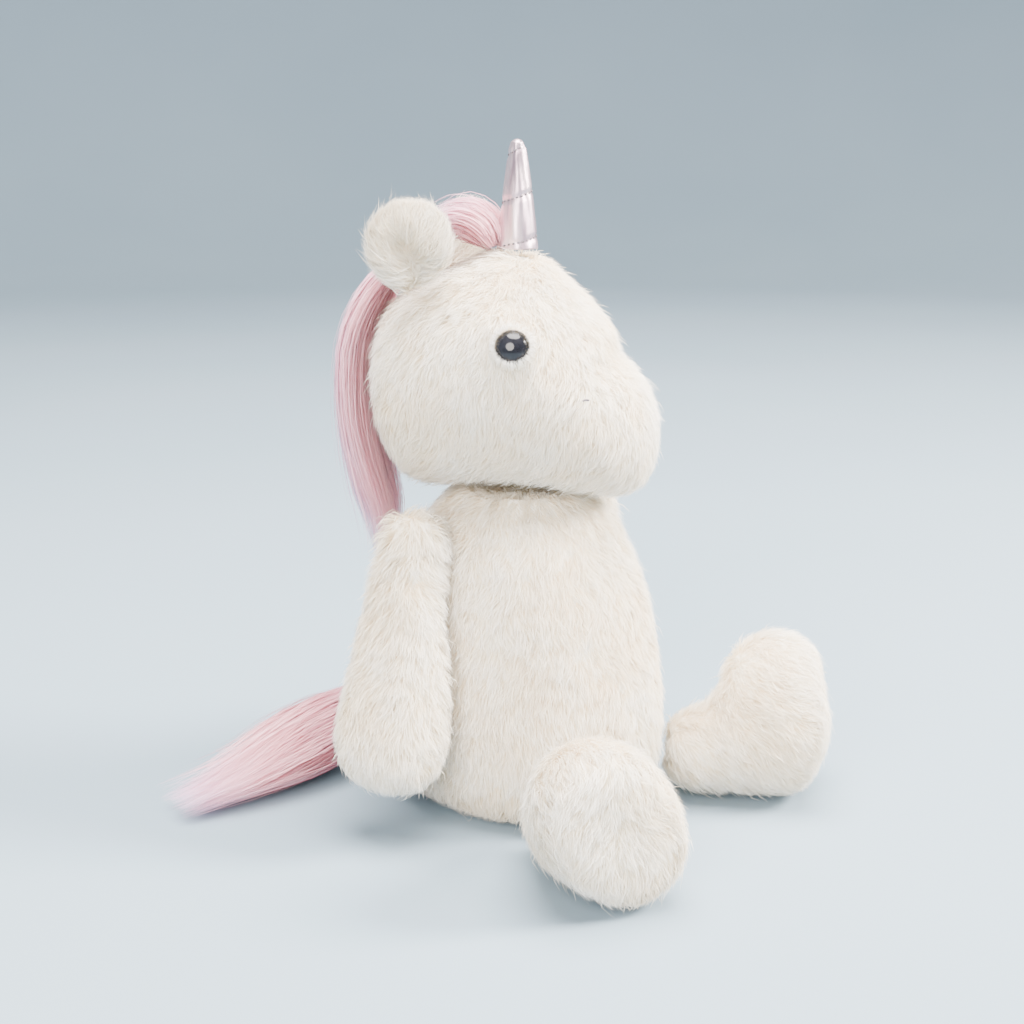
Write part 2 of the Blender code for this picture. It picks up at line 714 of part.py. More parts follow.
def build_horn(head_pivot):
    """A foil cloth cone with its filling and three slanted lines of stitching round it."""
    base = Vector((0.0, -HORN_FORWARD, HORN_BASE)) - NECK_PIVOT
    seat = add_empty("horn_seat", Matrix.Translation(base), head_pivot)
    outside = [(radius, height) for height, radius in reversed(HORN_RINGS)]
    inside = [(radius - HORN_WALL, height) for height, radius in HORN_RINGS[:-1]]
    profile = [(0.0, HORN_HEIGHT)] + outside + inside + [(0.0, HORN_HEIGHT - 2.0 * HORN_WALL)]
    turned("horn_cover", profile, FOIL_PINK, FOIL_ROUGHNESS, seat)
    core = [(0.0, 0.0)]
    inset = HORN_WALL + HORN_FILL_GAP
    core += [(radius - inset, height) for height, radius in HORN_RINGS if height < HORN_FILL_TOP]
    core += [(0.0, HORN_FILL_TOP)]
    turned("horn_stuffing", core, FILL_WHITE, FILL_ROUGHNESS, seat)
    for line, (middle, first, last) in THREAD_LINES.items():
        points = []
        for k in range(THREAD_STEPS + 1):
            turns = first + (last - first) * THREAD_END_TRIM * k / THREAD_STEPS
            height = middle + THREAD_RISE * turns
            angle = THREAD_FRONT + 2.0 * math.pi * turns
            radius = horn_radius(height) + 2.0 * GAP + THREAD_RADIUS
            points.append(Vector((radius * math.cos(angle), radius * math.sin(angle), height)))
        skin = ring_faces(thread_rings(points, THREAD_RADIUS))
        add_solid(f"horn_thread_{line}", *skin, THREAD_GREY, parent=seat)


def horn_radius(height):
    """The horn's outer radius at a height, read between its rings."""
    for (low, wide), (high, narrow) in zip(HORN_RINGS, HORN_RINGS[1:]):
        if low <= height <= high:
            return wide + (narrow - wide) * (height - low) / (high - low)
    return HORN_RINGS[-1][1]


def half_ring(height, half_width, half_thick, face):
    """The front or back half of a flat oval ring, or its pole."""
    if half_width <= 0.0:
        return [Vector((0.0, face * HALF_GAP, height))]
    ring = []
    for k in range(EAR_SIDES):
        angle = math.pi * k / (EAR_SIDES - 1)
        y = face * max(half_thick * math.sin(angle), HALF_GAP)
        ring.append(Vector((half_width * math.cos(angle), y, height)))
    return ring


def build_ears(head_pivot):
    """Two ears, each a front and a back panel that fold together on a line at the root."""
    for side_name, side in (("left", 1.0), ("right", -1.0)):
        place = Vector((side * EAR_PIVOT[0], EAR_PIVOT[1], EAR_PIVOT[2])) - NECK_PIVOT
        lean = Matrix.Rotation(side * EAR_LEAN[side_name], 4, "Y")
        twist = Matrix.Rotation(side * EAR_TWIST, 4, "Z")
        root = add_empty(f"ear_pivot_{side_name}", Matrix.Translation(place) @ lean @ twist, head_pivot)
        for face_name, face in (("front", -1.0), ("back", 1.0)):
            loops = [half_ring(*ring, face) for ring in EAR_RINGS]
            points, faces = ring_faces(loops)
            add_solid(f"ear_{face_name}_{side_name}", points, faces, PLUSH_WHITE, parent=root)


def build_hair(head_pivot):
    """The lock between the ears and the mane that falls behind the neck."""
    for name, path, colour in (("forelock", FORELOCK_PATH, YARN_PINK), ("mane", MANE_PATH, YARN_PINK)):
        spots = [(Vector((0.0, back, high)) - NECK_PIVOT, wide, thick) for back, high, wide, thick in path]
        rings = sweep_rings(spots, lambda forward: Vector((1.0, 0.0, 0.0)), HAIR_SIDES)
        points, faces = ring_faces(rings)
        add_solid(name, points, faces, colour, parent=head_pivot)


# ---------------------------------------------------------------------------------------------- limbs
def half_grid(rings, side):
    """Half of each ring, on one side of the limb's middle plane."""
    grid = []
    for along, rise, half_x, half_y in rings:
        row = []
        for k in range(ARM_SIDES + 1):
            angle = math.pi * (k / ARM_SIDES - 0.5)
            x = side * max(half_x * math.cos(angle), HALF_GAP)
            row.append(Vector((x, rise + half_y * math.sin(angle), along)))
        grid.append(row)
    return grid


def limb_panel(name, rings, side, parent):
    """Half of a limb's skin, split along its middle plane."""
    outer = half_grid(rings, side)
    inner = half_grid(inner_rings(rings, LIMB_WALL), side)
    points, faces = merged(*panel_faces(outer, inner))
    return add_solid(name, points, faces, PLUSH_WHITE, parent=parent)


def build_arms():
    """Two hanging arms, each an outer and an inner panel round its filling."""
    ball = [ball_ring(SHOULDER_BALL, math.radians(angle)) for angle in SHOULDER_BALL_ANGLES]
    rings = ball + [(along, 0.0, thick, wide) for along, thick, wide in ARM_RINGS]
    core = inner_rings(rings, LIMB_WALL + FILL_GAP)[1:]
    for side_name, side in (("left", 1.0), ("right", -1.0)):
        root = Vector((side * SHOULDER.x, SHOULDER.y, SHOULDER.z))
        reach = Vector((side * HAND.x, HAND.y, HAND.z)) - root
        down = reach.normalized()
        across = (Vector((side, 0.0, 0.0)) - down * down.x * side).normalized()
        turn = Matrix((across, down.cross(across), down)).transposed().to_4x4()
        pivot = add_empty(f"arm_pivot_{side_name}", Matrix.Translation(root) @ turn)
        limb_panel(f"arm_outer_{side_name}", rings, 1.0, pivot)
        limb_panel(f"arm_inner_{side_name}", rings, -1.0, pivot)
        loops = [ellipse(SMALL_ROUND_SIDES, 0.0, 0.0, along, thick, wide) for along, _up, thick, wide in core]
        points, faces = ring_faces(loops)
        add_solid(f"arm_stuffing_{side_name}", points, faces, FILL_WHITE, FILL_ROUGHNESS, parent=pivot)


def build_legs():
    """Two legs that point forwards along the floor, each with two panels, a sole and its filling."""
    ball = [ball_ring(HIP_BALL, math.radians(angle)) for angle in HIP_BALL_ANGLES]
    for side_name, side in (("left", 1.0), ("right", -1.0)):
        height = FOOT_HEIGHT[side_name]
        rings = ball + [pressed_ring(ring, height) for ring in LEG_RINGS]
        pivot = add_empty(f"leg_pivot_{side_name}", hip_matrix(side))
        inside = inner_rings(rings, LIMB_WALL)
        for face_name, face in (("upper", 1.0), ("lower", -1.0)):
            points, faces = merged(*panel_faces(leg_half(rings, face), leg_half(inside, face)))
            add_solid(f"leg_{face_name}_{side_name}", points, faces, PLUSH_WHITE, parent=pivot)
        rise = rings[-1][1]
        loops = [[Vector((0.0, rise, SOLE_RINGS[0][0]))]]
        loops += [ellipse(ROUND_SIDES, 0.0, rise, along, wide, tall * height) for along, wide, tall in SOLE_RINGS]
        loops += [[Vector((0.0, rise, SOLE_FRONT))]]
        points, faces = ring_faces([[lean_toe(point) for point in loop] for loop in loops])
        add_solid(f"sole_{side_name}", points, faces, PLUSH_SHADE, parent=pivot)
        core = inner_rings(rings, LIMB_WALL + FILL_GAP)[1:-1]
        loops = [ellipse(SMALL_ROUND_SIDES, 0.0, up, along, wide, tall) for along, up, wide, tall in core]
        points, faces = ring_faces([[lean_toe(point) for point in loop] for loop in loops])
        add_solid(f"leg_stuffing_{side_name}", points, faces, FILL_WHITE, FILL_ROUGHNESS, parent=pivot)


def pressed_ring(ring, height):
    """A leg ring at a share of its full height, with its lowest line kept on the floor."""
    along, rise, wide, tall = ring
    pressed = (1.0 - height) * min((along - LEG_RINGS[0][0]) / FOOT_HEIGHT_RUN, 1.0)
    return (along, rise - pressed * tall, wide, tall * (1.0 - pressed))


def lean_toe(point):
    """Tips the foot so that its toe leads its heel, more and more towards the sole."""
    share = min(max((point.z - TOE_LEAN_START) / TOE_LEAN_RUN, 0.0), 1.0)
    return Vector((point.x, point.y, point.z + TOE_LEAN * share * (point.y - LEG_RINGS[-1][1])))


def leg_half(rings, face):
    """The upper or lower half of the leg's rings."""
    grid = []
    for along, rise, half_x, half_y in rings:
        row = []
        for k in range(LEG_SIDES + 1):
            angle = math.pi * k / LEG_SIDES
            lift = max(half_y * math.sin(angle), HALF_GAP)
            row.append(lean_toe(Vector((half_x * math.cos(angle), rise + face * lift, along))))
        grid.append(row)
    return grid


def hip_matrix(side):
    """The leg's frame: its own Z points along the leg, its own Y points up."""
    splay = LEG_SPLAY - LEG_TURN["left" if side > 0.0 else "right"]
    outward = Vector((side * math.sin(LEG_SPLAY), -math.cos(LEG_SPLAY), 0.0))
    along = Vector((side * math.sin(splay), -math.cos(splay), 0.0))
    up = Vector((0.0, 0.0, 1.0))
    turn = Matrix((up.cross(along), up, along)).transposed().to_4x4()
    place = outward * HIP_DISTANCE + up * HIP_HEIGHT
    return Matrix.Translation(place) @ turn @ Matrix.Rotation(side * FOOT_ROLL, 4, "Z")


# ----------------------------------------------------------------------------------------------- tail
def build_tail():
    """A round tab sewn to the back of the seat and the long lock that lies on the floor."""
    pivot = add_empty("tail_pivot", Matrix.Translation(TAIL_PIVOT))
    tab = []
    for k in range(BALL_LEVELS + 1):
        tilt = math.pi * (k / BALL_LEVELS - 0.5)
        radius = TAIL_BALL * math.cos(tilt) if 0 < k < BALL_LEVELS else 0.0
        tab.append((radius, TAIL_BALL * math.sin(tilt)))
    turned("tail_tab", tab, PLUSH_WHITE, CLOTH_ROUGHNESS, pivot, SMALL_ROUND_SIDES)
    spots = [(Vector((x, y, z)) - TAIL_PIVOT, wide, tall) for x, y, z, wide, tall in TAIL_PATH]
    up = Vector((0.0, 0.0, 1.0))
    rings = sweep_rings(spots, lambda forward: up.cross(forward).normalized(), HAIR_SIDES)
    points, faces = ring_faces(rings)
    add_solid("tail_lock", points, faces, YARN_PINK, parent=pivot)


# ------------------------------------------------------------------------------------------- assembly
def sphere_cutter(name, radius, matrix, parent=None):
    """A ball-shaped tool."""
    mesh = bpy.data.meshes.new(name)
    shape = bmesh.new()
    bmesh.ops.create_uvsphere(shape, u_segments=HEAD_SIDES, v_segments=SMALL_ROUND_SIDES, radius=radius)
    shape.to_mesh(mesh)
    shape.free()
    cutter = bpy.data.objects.new(name, mesh)
    bpy.context.scene.collection.objects.link(cutter)
    cutter.parent = parent
    cutter.matrix_basis = matrix
    return hide_cutter(cutter)


def build_all():
    """Clears the scene and builds the whole toy."""
    for existing in list(bpy.data.objects):
        bpy.data.objects.remove(existing)
    leg_cutters = {}
    arm_cutters = {}
    for side_name, side in (("left", 1.0), ("right", -1.0)):
        radius = HIP_BALL + POCKET_GAP
        leg_cutters[side_name] = sphere_cutter(f"hip_tool_{side_name}", radius, hip_matrix(side))
        shoulder = Matrix.Translation(Vector((side * SHOULDER.x, SHOULDER.y, SHOULDER.z)))
        radius = SHOULDER_BALL + POCKET_GAP
        arm_cutters[side_name] = sphere_cutter(f"shoulder_tool_{side_name}", radius, shoulder)
    build_torso(leg_cutters, arm_cutters)
    build_neck()
    build_seam_and_label()
    turn = Matrix.Rotation(HEAD_TURN, 4, "Z")
    head_pivot = add_empty("head_pivot", Matrix.Translation(NECK_PIVOT) @ turn)
    neck_cutter = sphere_cutter("neck_tool", NECK_BALL + POCKET_GAP, Matrix.Identity(4), head_pivot)
    build_head(head_pivot, neck_cutter)
    build_nostrils(head_pivot)
    build_horn(head_pivot)
    build_ears(head_pivot)
    build_hair(head_pivot)
    build_arms()
    build_legs()
    build_tail()
    bpy.context.view_layer.update()


build_all()
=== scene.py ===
"""Looks of the sitting plush unicorn: cloth skins, pile, mane, tail, horn, eyes and a plain studio.

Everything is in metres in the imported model's frame: +Z up, the body faces -Y, the animal's left is +X.
The pile is real geometry: every tuft marches over its skin along a combing direction, and its strands
are narrow tapering ribbons. The long hair is drawn the same way along guide curves.
"""

import json
import math

import bmesh
import bpy
import numpy as np
from mathutils import Matrix, Vector
from mathutils.bvhtree import BVHTree


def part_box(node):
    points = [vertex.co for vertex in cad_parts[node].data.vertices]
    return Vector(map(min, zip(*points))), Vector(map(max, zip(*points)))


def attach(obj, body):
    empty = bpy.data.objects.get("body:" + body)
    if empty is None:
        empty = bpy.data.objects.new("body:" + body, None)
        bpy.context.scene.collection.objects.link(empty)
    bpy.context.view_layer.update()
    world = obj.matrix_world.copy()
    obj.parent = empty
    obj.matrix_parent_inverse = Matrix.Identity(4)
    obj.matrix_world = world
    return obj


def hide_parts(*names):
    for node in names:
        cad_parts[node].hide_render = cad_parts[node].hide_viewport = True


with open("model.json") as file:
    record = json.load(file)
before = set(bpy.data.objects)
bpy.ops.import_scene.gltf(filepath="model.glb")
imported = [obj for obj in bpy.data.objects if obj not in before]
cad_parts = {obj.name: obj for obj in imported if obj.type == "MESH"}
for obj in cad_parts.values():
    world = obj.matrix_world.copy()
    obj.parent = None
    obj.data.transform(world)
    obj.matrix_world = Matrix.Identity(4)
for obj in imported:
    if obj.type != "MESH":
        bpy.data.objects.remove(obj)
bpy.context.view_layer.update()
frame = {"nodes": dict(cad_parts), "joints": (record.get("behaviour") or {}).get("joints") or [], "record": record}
NODES = frame["nodes"]
JOINTS = {joint["name"]: joint for joint in frame["joints"]}

NECK = np.array(JOINTS["neck_turn"]["pos_m"])
HEAD_LEFT = np.array(JOINTS["head_nod"]["axis"])
HEAD_UP = np.array([0.0, 0.0, 1.0])
HEAD_FRONT = np.cross(HEAD_LEFT, HEAD_UP)
FLOOR_CLEARANCE = 0.0004


# ---- vector tools
def unit(rows):
    """Each row made one unit long."""
    return rows / np.maximum(np.linalg.norm(rows, axis=-1, keepdims=True), 1e-9)


def flatten(rows, normals):
    """Each direction laid into the surface whose normal is given."""
    return unit(rows - normals * np.sum(rows * normals, axis=-1, keepdims=True))


def smooth_noise(points, scale, seed):
    """A soft random field between -1 and 1, made of a few waves."""
    rng = np.random.default_rng(seed)
    total = np.zeros(points.shape[:-1])
    for _ in range(5):
        wave = rng.normal(size=3)
        wave *= 2.0 * math.pi / (scale * np.linalg.norm(wave)) * rng.uniform(0.7, 1.4)
        total += np.sin(points @ wave + rng.uniform(0.0, 2.0 * math.pi))
    return total / 2.6


def head_to_world(points):
    """Points given as (animal's left, forward, height) on the head."""
    points = np.asarray(points, float)
    return points[..., :1] * HEAD_LEFT + points[..., 1:2] * HEAD_FRONT + points[..., 2:3] * HEAD_UP


def world_to_head(points):
    """The head's own (left, forward, height) of world points."""
    return np.stack([points @ HEAD_LEFT, points @ HEAD_FRONT, points @ HEAD_UP], axis=-1)


def new_object(name, mesh, body, material, replaces=()):
    """Links a finished mesh as one piece of the toy."""
    piece = bpy.data.objects.new(name, mesh)
    bpy.context.scene.collection.objects.link(piece)
    mesh.materials.clear()
    mesh.materials.append(material)
    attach(piece, body)
    if replaces:
        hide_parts(*replaces)
    return piece


def mesh_from(name, points, faces):
    """A mesh from plain lists."""
    mesh = bpy.data.meshes.new(name)
    mesh.from_pydata([tuple(map(float, point)) for point in points], [], [tuple(face) for face in faces])
    mesh.validate()
    shape = bmesh.new()
    shape.from_mesh(mesh)
    bmesh.ops.recalc_face_normals(shape, faces=shape.faces)
    shape.to_mesh(mesh)
    shape.free()
    mesh.shade_smooth()
    return mesh


def ring_faces(rows, sides):
    """Faces of a tube of rings with closed ends."""
    faces = []
    for row in range(rows - 1):
        for k in range(sides):
            following = (k + 1) % sides
            faces.append((row * sides + k, row * sides + following, (row + 1) * sides + following,
                          (row + 1) * sides + k))
    faces.append(tuple(range(sides))[::-1])
    faces.append(tuple((rows - 1) * sides + k for k in range(sides)))
    return faces


# ---- materials
class Nodes:
    """Short calls for building one material's node tree."""

    def __init__(self, name):
        self.material = bpy.data.materials.new(name)
        self.material.use_nodes = True
        self.tree = self.material.node_tree
        self.shader = self.tree.nodes["Principled BSDF"]

    def feed(self, socket, value):
        """Links another node's value to a socket, or sets a plain one."""
        if isinstance(value, bpy.types.NodeSocket):
            self.tree.links.new(value, socket)
        else:
            socket.default_value = value

    def add(self, kind, inputs=None, **settings):
        """Adds a node, sets its properties, and sets or links its inputs."""
        node = self.tree.nodes.new("ShaderNode" + kind)
        for key, value in settings.items():
            setattr(node, key, value)
        for key, value in (inputs or {}).items():
            self.feed(node.inputs[key], value)
        return node

    def set(self, **values):
        """Sets or links the Principled shader's inputs; underscores stand for spaces."""
        for key, value in values.items():
            self.feed(self.shader.inputs[key.replace("_", " ")], value)

    def place(self):
        """The piece's own coordinates, which move with it."""
        return self.add("TexCoord").outputs["Object"]

    def noise(self, scale, detail=3.0, vector=None, distortion=0.0):
        """Fractal noise in the piece's coordinates."""
        node = self.add("TexNoise", {"Scale": scale, "Detail": detail, "Distortion": distortion})
        self.tree.links.new(vector if vector is not None else self.place(), node.inputs["Vector"])
        return node.outputs["Fac"]

    def ramp(self, value, *stops):
        """A colour ramp over (position, colour) stops."""
        node = self.add("ValToRGB", {"Fac": value})
        elements = node.color_ramp.elements
        while len(elements) < len(stops):
            elements.new(0.5)
        for element, (position, colour) in zip(elements, stops):
            element.position = position
            element.color = (*colour, 1.0)
        return node.outputs["Color"]

    def mix(self, factor, first, second, blend="MIX"):
        """Two colours mixed."""
        node = self.add("Mix", data_type="RGBA", blend_type=blend)
        for index, value in ((0, factor), (6, first), (7, second)):
            self.feed(node.inputs[index], (*value, 1.0) if isinstance(value, tuple) else value)
        return node.outputs[2]

    def math(self, operation, first, second=0.0):
        """A value worked out from two others."""
        node = self.add("Math", operation=operation)
        for index, value in enumerate((first, second)):
            self.feed(node.inputs[index], value)
        return node.outputs[0]

    def attribute(self, name):
        """A value stored on the mesh."""
        return self.add("Attribute", attribute_name=name).outputs["Fac"]

    def bump(self, height, strength, distance):
        """Fine relief."""
        node = self.add("Bump", {"Strength": strength, "Distance": distance, "Height": height})
        self.set(Normal=node.outputs["Normal"])

    def translucent(self, colour, share):
        """Lets some of the light through, as thin fibres do."""
        through = self.add("BsdfTranslucent", {"Color": colour})
        both = self.add("MixShader", {0: share})
        self.feed(both.inputs[1], self.shader.outputs[0])
        self.feed(both.inputs[2], through.outputs[0])
        self.feed(self.tree.nodes["Material Output"].inputs["Surface"], both.outputs[0])


def pile_material():
    """White plush pile: painted shade at the root, a warm darker cream, going to bright cream white at the tip,
    with slightly different tufts.
    """
    nodes = Nodes("white_pile")
    root_shade_fade = nodes.attribute("root_shade_fade")
    # Painted shade: the root colours stand for the shade deep in the pile; the tip colours are the pile's own
    # cream white.
    colour = nodes.ramp(root_shade_fade, (0.0, (0.88, 0.76, 0.55)), (0.3, (0.95, 0.885, 0.76)),
                        (0.65, (0.975, 0.945, 0.90)), (1.0, (0.99, 0.97, 0.945)))
    patch = nodes.ramp(nodes.noise(38.0, 4.0), (0.38, (0.985, 0.945, 0.875)), (0.60, (1.0, 1.0, 1.0)))
    colour = nodes.mix(1.0, colour, patch, "MULTIPLY")
    strand = nodes.ramp(nodes.attribute("shade"), (0.0, (0.97, 0.955, 0.93)), (0.5, (1.0, 1.0, 1.0)))
    colour = nodes.mix(1.0, colour, strand, "MULTIPLY")
    nodes.set(Base_Color=colour, Roughness=0.62, Specular_IOR_Level=0.3, Sheen_Weight=0.25,
              Sheen_Roughness=0.5)
    nodes.translucent(colour, 0.42)
    return nodes.material


def backing_material():
    """The knitted cloth under the pile."""
    nodes = Nodes("plush_backing")
    colour = nodes.ramp(nodes.noise(60.0, 5.0), (0.3, (0.90, 0.82, 0.70)), (0.7, (0.95, 0.90, 0.81)))
    rib = nodes.add("TexWave", {"Scale": 420.0, "Distortion": 6.0, "Detail": 2.0})
    nodes.tree.links.new(nodes.place(), rib.inputs["Vector"])
    nodes.set(Base_Color=colour, Roughness=0.9, Specular_IOR_Level=0.2, Sheen_Weight=0.3)
    nodes.bump(rib.outputs["Fac"], 0.5, 0.0004)
    return nodes.material


def hair_material():
    """Long yarn hair, pink in its depth and lavender where the strand's value says so; its darkest stop is painted
    shade.
    """
    nodes = Nodes("mane_yarn")
    # The stop at 0.0 is a darkened pink, painted shade over the yarn's pink, taken down the tail and in part by
    # the mane's innermost strands; the other stops are the yarn's own pink and lavender.
    colour = nodes.ramp(nodes.attribute("tint_and_shade"), (0.0, (0.58, 0.16, 0.24)), (0.3, (0.94, 0.48, 0.54)),
                        (0.6, (0.90, 0.53, 0.68)), (0.85, (0.70, 0.56, 0.86)), (1.0, (0.58, 0.60, 0.92)))
    strand = nodes.ramp(nodes.attribute("shade"), (0.0, (0.84, 0.80, 0.82)), (0.6, (1.0, 1.0, 1.0)))
    colour = nodes.mix(1.0, colour, strand, "MULTIPLY")
    colour = nodes.mix(nodes.noise(70.0, 3.0), colour, nodes.mix(0.3, colour, (0.95, 0.85, 0.88)))
    nodes.set(Base_Color=colour, Roughness=0.42, Specular_IOR_Level=0.4, Sheen_Weight=0.2)
    nodes.translucent(colour, 0.35)
    return nodes.material


def foil_material():
    """Soft metallic cloth: silver pink in long bands along its creases, with a fine weave; the bands' colour is
    painted shade in the low creases and painted sheen on the raised ones.
    """
    nodes = Nodes("foil_cloth")
    long_way = nodes.add("Mapping", {"Vector": nodes.place(), "Scale": (1.0, 1.0, 0.12)})
    crease_relief_and_shade = nodes.noise(260.0, 4.0, long_way.outputs["Vector"], 0.4)
    # Painted crease shade and sheen: the colour is darker where the crease relief is low and lighter where it is
    # raised.
    colour = nodes.ramp(crease_relief_and_shade, (0.36, (0.26, 0.18, 0.22)), (0.50, (0.52, 0.38, 0.44)),
                        (0.66, (0.80, 0.62, 0.65)))
    weave = nodes.add("TexWave", {"Vector": nodes.place(), "Scale": 900.0, "Distortion": 1.0},
                      bands_direction="Z")
    rough = nodes.ramp(crease_relief_and_shade, (0.3, (0.44, 0.44, 0.44)), (0.7, (0.30, 0.30, 0.30)))
    nodes.set(Base_Color=colour, Metallic=0.85, Roughness=rough, Sheen_Weight=0.1)
    fine = nodes.math("MULTIPLY", weave.outputs["Fac"], 0.12)
    height = nodes.math("ADD", nodes.math("MULTIPLY", crease_relief_and_shade, 1.0), fine)
    nodes.bump(height, 0.35, 0.0006)
    return nodes.material


def eye_material():
    """Moulded black plastic with a clear gloss and a few fine scuffs."""
    nodes = Nodes("black_eye")
    scuff = nodes.noise(900.0, 6.0)
    rough = nodes.ramp(scuff, (0.55, (0.10, 0.10, 0.10)), (0.75, (0.20, 0.20, 0.20)))
    colour = nodes.ramp(nodes.noise(300.0), (0.3, (0.006, 0.006, 0.008)), (0.7, (0.014, 0.014, 0.018)))
    nodes.set(Base_Color=colour, Roughness=rough, Specular_IOR_Level=0.22, Coat_Weight=0.25,
              Coat_Roughness=0.05)
    return nodes.material


def thread_material():
    """Twisted grey thread."""
    nodes = Nodes("dark_thread")
    twist = nodes.add("TexWave", {"Vector": nodes.place(), "Scale": 700.0, "Distortion": 2.0})
    colour = nodes.ramp(twist.outputs["Fac"], (0.2, (0.07, 0.06, 0.07)), (0.8, (0.20, 0.17, 0.19)))
    nodes.set(Base_Color=colour, Roughness=0.8)
    nodes.bump(twist.outputs["Fac"], 0.4, 0.0002)
    return nodes.material


def fibre_material(name, dark, light, scale, roughness=0.95):
    """Loose filling, cotton, tape or nylon: a mottled colour with small relief."""
    nodes = Nodes(name)
    grain = nodes.noise(scale, 5.0)
    nodes.set(Base_Color=nodes.ramp(grain, (0.3, dark), (0.7, light)), Roughness=roughness)
    nodes.bump(grain, 0.4, 0.0005)
    return nodes.material


PILE = pile_material()
BACKING = backing_material()
HAIR = hair_material()
FOIL = foil_material()
EYE = eye_material()
THREAD = thread_material()
HIDDEN = {
    "stuffing": fibre_material("polyester_filling", (0.82, 0.84, 0.86), (0.95, 0.96, 0.97), 240.0),
    "bag_cotton": fibre_material("bag_cotton", (0.60, 0.56, 0.48), (0.76, 0.72, 0.64), 900.0),
    "washer": fibre_material("nylon_washer", (0.70, 0.71, 0.73), (0.80, 0.81, 0.83), 500.0, 0.5),
    "label": fibre_material("woven_tape", (0.84, 0.84, 0.83), (0.94, 0.94, 0.93), 1400.0, 0.8),
    "thread": fibre_material("cream_thread", (0.66, 0.60, 0.50), (0.82, 0.78, 0.70), 1500.0),
}


# ---- cloth skins
def remeshed(name, nodes, voxel):
    """One closed skin round some CAD nodes, without anything that lies inside it."""
    shape = bmesh.new()
    for node in nodes:
        shape.from_mesh(NODES[node].data)
    mesh = bpy.data.meshes.new(name)
    shape.to_mesh(mesh)
    shape.free()
    skin = bpy.data.objects.new(name, mesh)
    bpy.context.scene.collection.objects.link(skin)
    remesh = skin.modifiers.new("remesh", "REMESH")
    remesh.mode = "VOXEL"
    remesh.voxel_size = voxel
    bake_modifiers(skin)
    shape = bmesh.new()
    shape.from_mesh(skin.data)
    shape.verts.ensure_lookup_table()
    groups = []
    seen = set()
    for vertex in shape.verts:
        if vertex in seen:
            continue
        group = []
        stack = [vertex]
        seen.add(vertex)
        while stack:
            current = stack.pop()
            group.append(current)
            fresh = [edge.other_vert(current) for edge in current.link_edges]
            fresh = [other for other in fresh if other not in seen]
            seen.update(fresh)
            stack.extend(fresh)
        groups.append(group)
    groups.sort(key=len)
    bmesh.ops.delete(shape, geom=[vertex for group in groups[:-1] for vertex in group], context="VERTS")
    for _ in range(4):
        bmesh.ops.smooth_vert(shape, verts=shape.verts, factor=0.5, use_axis_x=True, use_axis_y=True,
                              use_axis_z=True)
    shape.to_mesh(skin.data)
    shape.free()
    return skin


def bake_modifiers(piece):
    """Replaces a piece's mesh with what its modifiers make of it."""
    graph = bpy.context.evaluated_depsgraph_get()
    mesh = bpy.data.meshes.new_from_object(piece.evaluated_get(graph))
    old = piece.data
    piece.modifiers.clear()
    piece.data = mesh
    bpy.data.meshes.remove(old)


def coordinates(mesh):
    """The mesh's points as an array."""
    points = np.empty(len(mesh.vertices) * 3)
    mesh.vertices.foreach_get("co", points)
    return points.reshape(-1, 3)


def vertex_normals(mesh):
    """The mesh's point normals as an array."""
    normals = np.empty(len(mesh.vertices) * 3, np.float32)
    mesh.vertex_normals.foreach_get("vector", normals)
    return normals.reshape(-1, 3).astype(float)


def write_points(mesh, points):
    """Puts the points back on the mesh."""
    mesh.vertices.foreach_set("co", points.astype(np.float32).ravel())
    mesh.update()


def fit_ball(points, centre, radius, inside=None):
    """Pushes points out of a ball, or pulls the ones marked as inside into it."""
    away = points - centre
    distance = np.linalg.norm(away, axis=1, keepdims=True)
    wrong = distance < radius if inside is None else (distance > radius) & inside[:, None]
    return np.where(wrong, centre + away / np.maximum(distance, 1e-9) * radius, points)


def sink(name, points):
    """How far a skin lies under the finished outline to leave room for pile; little near eyes and horn."""
    depth = np.full(len(points), PILE_ROOM)
    if name == "head_skin":
        for centre, near, far in SHALLOW:
            away = np.linalg.norm(points - centre, axis=1)
            depth *= np.clip((away - near) / (far - near), SHALLOW_SHARE, 1.0)
    return depth[:, None]


def stuff(skins):
    """Blows the closed skins up a little as cloth, so that they take a stuffed shape, and caps the growth."""
    starts = {}
    for skin in skins:
        points = coordinates(skin.data)
        starts[skin.name] = points - vertex_normals(skin.data) * sink(skin.name, points)
        write_points(skin.data, starts[skin.name])
    scene = bpy.context.scene
    for skin in skins:
        cloth = skin.modifiers.new("cloth", "CLOTH")
        cloth.settings.quality = 4
        cloth.settings.mass = 0.1
        cloth.settings.use_pressure = True
        cloth.settings.uniform_pressure_force = 4.0
        cloth.settings.tension_stiffness = 12.0
        cloth.settings.compression_stiffness = 12.0
        cloth.settings.bending_stiffness = 0.4
        cloth.settings.effector_weights.gravity = 0.0
        cloth.point_cache.frame_start = 1
        cloth.point_cache.frame_end = CLOTH_FRAMES
    for number in range(1, CLOTH_FRAMES + 1):
        scene.frame_set(number)
    for skin in skins:
        bake_modifiers(skin)
        start = starts[skin.name]
        offset = coordinates(skin.data) - start
        length = np.linalg.norm(offset, axis=1, keepdims=True)
        write_points(skin.data, start + offset * np.minimum(1.0, SWELL / np.maximum(length, 1e-9)))
    scene.frame_set(1)


def subdivide(skin):
    """One finer level, and smooth shading."""
    finer = skin.modifiers.new("finer", "SUBSURF")
    finer.levels = 1
    finer.render_levels = 1
    bake_modifiers(skin)
    skin.data.shade_smooth()


